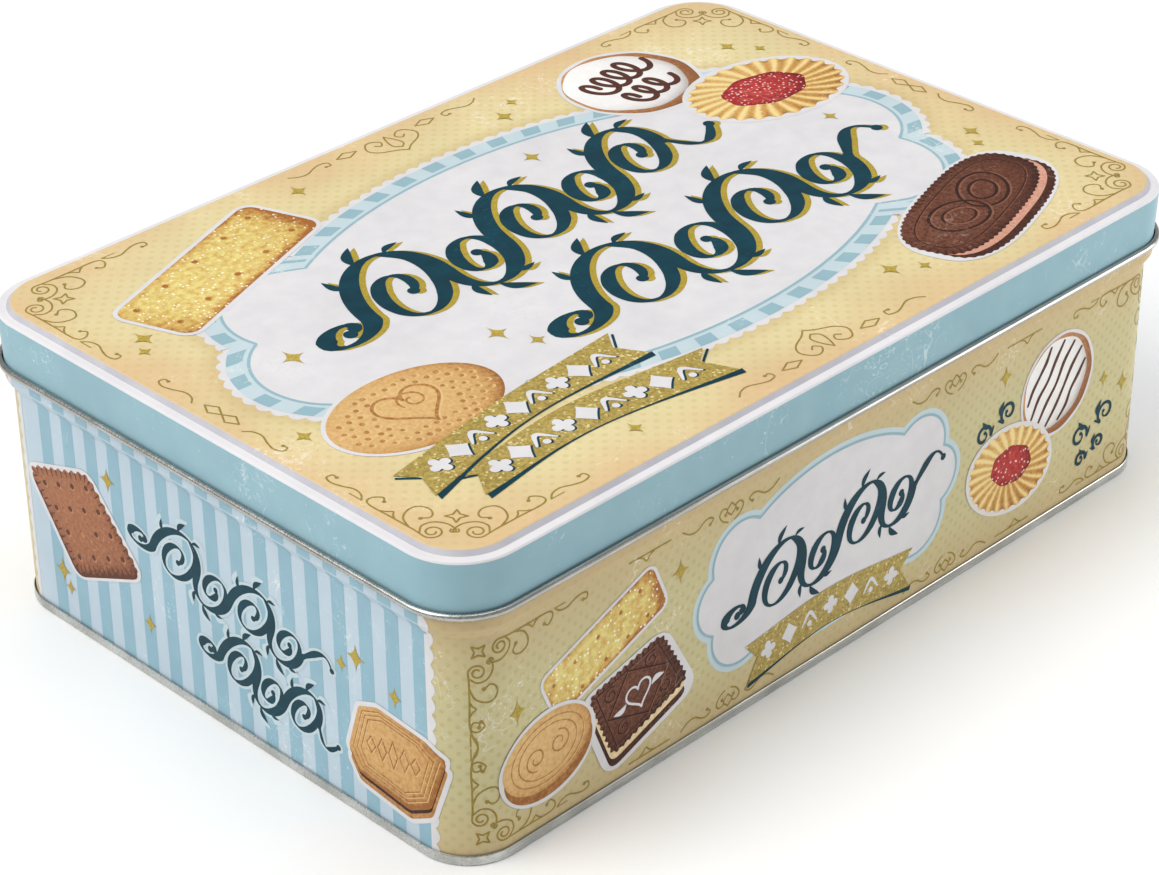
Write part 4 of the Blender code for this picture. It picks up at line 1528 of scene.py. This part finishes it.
rusk_crumb = crumb("iced biscuit base, baked brown", "#dcae78", "#c08a58", "#8d5a35", 0.7, 0.25)
icing_white = crumb("icing, poured sugar", "#f6f4f1", "#dfdbd8", "#b9b1ac", 2.5, 0.1)
cocoa_line = plain_ink("piping, cocoa icing", "#5b3326", 0.1, "#8a6350", "#4a271d", 0.9)
print_on_lid("lid_iced_base", lambda mesh: iced_base(mesh, *LID_ICED, 5.2), rusk_crumb)
print_on_lid("lid_icing", lambda mesh: icing(mesh, *LID_ICED, 6.2), icing_white)
print_on_lid("lid_piping", lid_piping, cocoa_line)
print_on_walls("front_iced_base", lambda mesh: iced_base(mesh, *FRONT_ICED, 5.0), LONG_SIDES, rusk_crumb)
print_on_walls("front_icing", lambda mesh: icing(mesh, *FRONT_ICED, 5.5), LONG_SIDES, icing_white)
print_on_walls("front_drizzle", front_drizzle, LONG_SIDES, cocoa_line)

# ------------------------------------------------------------------ gold stars
# Small four-pointed gold stars are scattered round the biscuits and the clouds.


def star(mesh, x, y, reach, layer):
    outline = []
    for i in range(40):
        tip, between = divmod(i, 10)
        t = between / 10
        a, b = (Vector((math.cos(k * math.pi / 2), 1.25 * math.sin(k * math.pi / 2))) for k in (tip, tip + 1))
        hollow = (a + b) * 0.05
        outline.append(Vector((x, y)) + a.lerp(hollow, t).lerp(hollow.lerp(b, t), t) * reach * 0.95)
    patch(mesh, outline, layer, rings=2)


LID_STARS = ((-82.3, 7, 3.2), (-32, 63.4, 2.6), (27.4, 57.6, 2.8), (34, 62, 2.0), (17, 37.6, 2.8),
             (81.3, 2.4, 2.4), (93, 46.4, 2.6), (98, 40, 2.0), (-99, 35.5, 2.8), (-102.3, 31, 2.0),
             (-101.3, -18.3, 2.4), (-45.6, -16, 3.0), (-41.6, -24, 2.4), (33.4, -56.8, 2.8),
             (40, -61, 2.0), (-52.8, -63.3, 2.2), (98.3, -26.5, 2.6), (94.6, -31.6, 2.0))
LONG_STARS = ((-97.5, 34, 2.8), (-51, 45, 2.8), (54, 46.5, 2.6), (91.5, 30.5, 2.2), (99, 26.5, 2.6))
SHORT_STARS = ((-35, 46, 2.8), (-24, 14.5, 2.4), (-54.5, 14.3, 3.0), (-52.3, 10.5, 2.0), (43.5, 39, 3.0),
               (54.8, 35, 2.4), (39, 35.5, 2.0))
star_gold = plain_ink("star gold, metallic ink", "#a78f3a", 0.25, "#d2c488", "#bda64a", 0.6)
print_on_lid("lid_stars", lambda mesh: [star(mesh, x, y, reach, 7) for x, y, reach in LID_STARS],
             star_gold)
print_on_walls("front_stars", lambda mesh: [star(mesh, x, y, reach, 4) for x, y, reach in LONG_STARS],
               LONG_SIDES, star_gold)
print_on_walls("side_stars", lambda mesh: [star(mesh, x, y, reach, 5) for x, y, reach in SHORT_STARS],
               SHORT_SIDES, star_gold)

# ------------------------------------------------------------------ scrollwork frame
# Thin olive-gold pen scrolls frame the panel and the long sides: spirals and curls in the corners,
# small hearts, diamonds and S-scrolls at the middle of each edge.
PEN = 0.42
DIAGONAL = 39.0                  # a corner's diagonal is the line y = x + 39
SIDE_MIDDLE = 29.1               # middle height of a long side's frame


def straight_sides(mesh, corners, layer):
    """Straight pen strokes from corner to corner, all the way round."""
    for a, b in zip(corners, corners[1:] + corners[:1]):
        stroke(mesh, [a, b], PEN, layer, 0.5)


def corner_half(mesh, place, layer):
    """Half of a corner's scrollwork, along the lower edge; place(x, y) puts it in a corner."""
    def line(points, width=PEN, dot=0.0):
        stroke(mesh, [place(*p) for p in points], width, layer, 0.5)
        if dot:
            ball(mesh, place(*points[-1]), dot, layer + 0.1, 12)

    line(coil((-101, -68), 2.2, 0.7, 265, -1.35)[::-1] + [(-98, -70), (-92, -70), (-85, -70), (-83.7, -68.2),
                                                           (-85.3, -66.4), (-86.6, -67.3)], PEN, 0.45)
    line([(-99.4, -69.9), (-98, -68), (-98.6, -65.6), (-101, -64.1), (-103.6, -64.3), (-104.1, -65.1),
          (-103.4, -65.6), (-102.9, -64.9)])
    line([(-95.8, -66.3), (-97, -65), (-96.4, -63.6), (-94.5, -62.9), (-92.4, -63.9), (-92, -66),
          (-93.4, -68.6), (-96.5, -70)])
    ball(mesh, place(-96.0, -66.4), 0.5, layer + 0.1, 12)
    line([(-92.6, -70), (-91.3, -69.3), (-90.5, -68.4), (-89.6, -69.3), (-88.4, -70)])
    line([(-83, -70), (-81.5, -68.7), (-79, -68.3), (-76.5, -69.3), (-74, -69.9), (-72, -69.3),
          (-72.2, -67.8), (-73.5, -67.9)], PEN, 0.45)
    line([(-82.6, -70), (-79.6, -70)], 0.3)


def corner_diamond(mesh, place, layer):
    x, y, half = -100, -61.3, 1.6
    corners = [(x - half, y - half), (x, y - half * 0.6), (x + half, y - half), (x + half * 0.6, y),
               (x + half, y + half), (x, y + half * 0.6), (x - half, y + half), (x - half * 0.6, y)]
    straight_sides(mesh, [place(*p) for p in corners], layer)


def s_scroll(mesh, points, layer, dot=0.45):
    stroke(mesh, points, PEN, layer, 0.4)
    ball(mesh, points[-1], dot, layer + 0.1, 12)


def lid_scrollwork(mesh):
    layer = 1
    for flip_x in (1, -1):
        for flip_y in (1, -1):
            def flipped(points):
                return [(x * flip_x, y * flip_y) for x, y in points]

            corner_half(mesh, lambda x, y: (x * flip_x, y * flip_y), layer)
            # The other half is the first one mirrored about the corner's diagonal.
            corner_half(mesh, lambda x, y: ((y - DIAGONAL) * flip_x, (x + DIAGONAL) * flip_y), layer)
            corner_diamond(mesh, lambda x, y: (x * flip_x, y * flip_y), layer)
            for points in (
                [(0, -61), (-2, -62.5), (-6, -64.5), (-7.5, -67), (-6, -69.7), (-4, -70), (-2.3, -68.4),
                 (-3.4, -66.9), (-4.6, -67.8)],
                [(0, -63.2), (-1.5, -64.7), (-1.1, -67.5), (0, -70)],
            ):
                stroke(mesh, flipped(points), PEN, layer, 0.4)
            rhomb = [(-9.3, -69.1), (-12.3, -67.7), (-15.3, -69.1), (-12.3, -70.5)]
            straight_sides(mesh, flipped(rhomb), layer)
            s_scroll(mesh, flipped([
                (-29.3, -70), (-27.5, -68.7), (-25, -68.3), (-22, -69.5), (-20, -70), (-18, -69.4),
                (-18.2, -67.9), (-19.5, -68)]), layer)
            rhomb = [(-107.3, -5.4), (-105.8, -2.7), (-107.3, 0), (-108.8, -2.7)]
            straight_sides(mesh, flipped(rhomb), layer)
            s_scroll(mesh, flipped([
                (-108.6, -8), (-107.3, -9.5), (-106.9, -12), (-108, -15), (-108.6, -17.5), (-107.8, -19.5),
                (-106.4, -19.2), (-106.5, -18)]), layer)


def front_scrollwork(mesh):
    """The same frame at the size of a long side, which it follows round the corner bends."""
    layer = 1
    for flip_x in (1, -1):
        for flip_z in (1, -1):
            def place(x, y):
                # The lid's corner at (-109, -70) is moved to the long side's corner and drawn smaller.
                return (flip_x * (-108.2 + (x + 109) * 0.82),
                        SIDE_MIDDLE + flip_z * (-24.4 + (y + 70) * 0.82))
            corner_half(mesh, place, layer)
            corner_half(mesh, lambda x, y: place(y - DIAGONAL, x + DIAGONAL), layer)
            corner_diamond(mesh, lambda x, y: place(x - 6.6, y - 6.6), layer)
            mid_x = flip_x * 36.0
            mid_z = SIDE_MIDDLE + flip_z * -24.0
            for hand in (1, -1):
                s_scroll(mesh, [(mid_x + hand * x, mid_z + flip_z * y) for x, y in (
                    (1.0, 2.8), (2.6, 1.9), (3.6, 0.2), (2.6, -1.0), (1.2, -0.4), (1.8, 0.7))], layer)
                s_scroll(mesh, [(mid_x + hand * x, mid_z + flip_z * y) for x, y in (
                    (14.5, -0.9), (12.5, 0.4), (10.2, 0.6), (8.2, -0.6), (6.6, -0.9), (5.4, -0.1),
                    (6.4, 0.8))], layer)
            diamond_at = [(mid_x, mid_z + flip_z * z) for z in (1.4, -1.6)]
            stroke(mesh, [diamond_at[0], (mid_x + 1.3, mid_z - 0.1 * flip_z), diamond_at[1]], PEN, layer, 0.4)
            stroke(mesh, [diamond_at[0], (mid_x - 1.3, mid_z - 0.1 * flip_z), diamond_at[1]], PEN, layer, 0.4)
            stroke(mesh, [(flip_x * 66, mid_z - flip_z * 0.9), (flip_x * 54, mid_z - flip_z * 0.9)], PEN,
                   layer, 0.8)
            stroke(mesh, [(flip_x * x, mid_z + flip_z * y) for x, y in (
                (63.4, -0.9), (62, -0.2), (61, 0.8), (60, -0.2), (58.6, -0.9))], PEN, layer, 0.4)


pen_gold = plain_ink("scrollwork olive gold, pen line ink", "#a18a42", 0.2, "#cdbd86", "#8f7a38", 0.8)
print_on_lid("lid_scrollwork", lid_scrollwork, pen_gold)
print_on_walls("front_scrollwork", front_scrollwork, LONG_SIDES, pen_gold)

# ------------------------------------------------------------------ camera, floor and light
# A plain pale floor under soft studio light: one broad light over the left, a wide pale surround.


def floor():
    mesh = bmesh.new()
    bmesh.ops.create_grid(mesh, x_segments=12, y_segments=12, size=3.0)
    material, tree, shader = new_finish("floor, matt painted board", Roughness=0.85, Specular_IOR_Level=0.2)
    place = add(tree, "ShaderNodeTexCoord").outputs["Object"]
    grain = add(tree, "ShaderNodeTexNoise", {"Vector": place, "Scale": 14.0, "Detail": 3.0})
    paint = add(tree, "ShaderNodeMix", {"Factor": grain.outputs["Fac"], 6: shade("#f6f6f5"),
                                        7: shade("#f9f9f8")},
                data_type="RGBA")
    tree.links.new(paint.outputs[2], shader.inputs["Base Color"])
    piece = joined("floor", mesh, [material])
    piece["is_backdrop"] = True


def softbox(name, size, power, spot, target):
    light = bpy.data.lights.new(name, "AREA")
    light.shape = "RECTANGLE"
    light.size = size[0]
    light.size_y = size[1]
    light.energy = power
    lamp = bpy.data.objects.new(name, light)
    lamp.location = spot
    lamp.rotation_euler = (Vector(target) - Vector(spot)).to_track_quat("-Z", "Y").to_euler()
    lamp.visible_camera = False
    bpy.context.scene.collection.objects.link(lamp)


def camera():
    heading = math.radians(44.87)
    dip = math.radians(31.5)
    roll = math.radians(-0.42)
    ahead = Vector((math.cos(dip) * math.sin(heading), math.cos(dip) * math.cos(heading), -math.sin(dip)))
    right = ahead.cross(Vector((0, 0, 1))).normalized()
    up = right.cross(ahead)
    lens_right = right * math.cos(roll) + up * math.sin(roll)
    lens_up = up * math.cos(roll) - right * math.sin(roll)
    lens = bpy.data.cameras.new("camera")
    lens.lens = 102.15
    lens.sensor_width = 36.0
    lens.clip_start = 0.01
    viewer = bpy.data.objects.new("camera", lens)
    pose = Matrix((lens_right, lens_up, -ahead)).transposed().to_4x4()
    pose.translation = Vector((-0.45697, -0.45346, 0.41710))
    viewer.matrix_world = pose
    bpy.context.scene.collection.objects.link(viewer)
    bpy.context.scene.camera = viewer


floor()
softbox("softbox over the left", (1.6, 1.6), 32.0, (-1.3, 0.5, 1.7), (0, 0, 0.03))
softbox("softbox at the right", (0.3, 0.3), 1.15, (0.44, -0.36, 0.12), (0.06, -0.07, 0.03))
softbox("softbox above", (1.4, 1.4), 12.0, (0.2, 0.1, 1.9), (0, 0, 0.03))
camera()
world = bpy.data.worlds.new("pale surround")
world.use_nodes = True
world.node_tree.nodes["Background"].inputs["Color"].default_value = shade("#fbfbfb")
world.node_tree.nodes["Background"].inputs["Strength"].default_value = 0.4
bpy.context.scene.world = world
bpy.context.scene.view_settings.view_transform = "Standard"

[[list(corner) for corner in box] for box in (cad_box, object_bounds())]
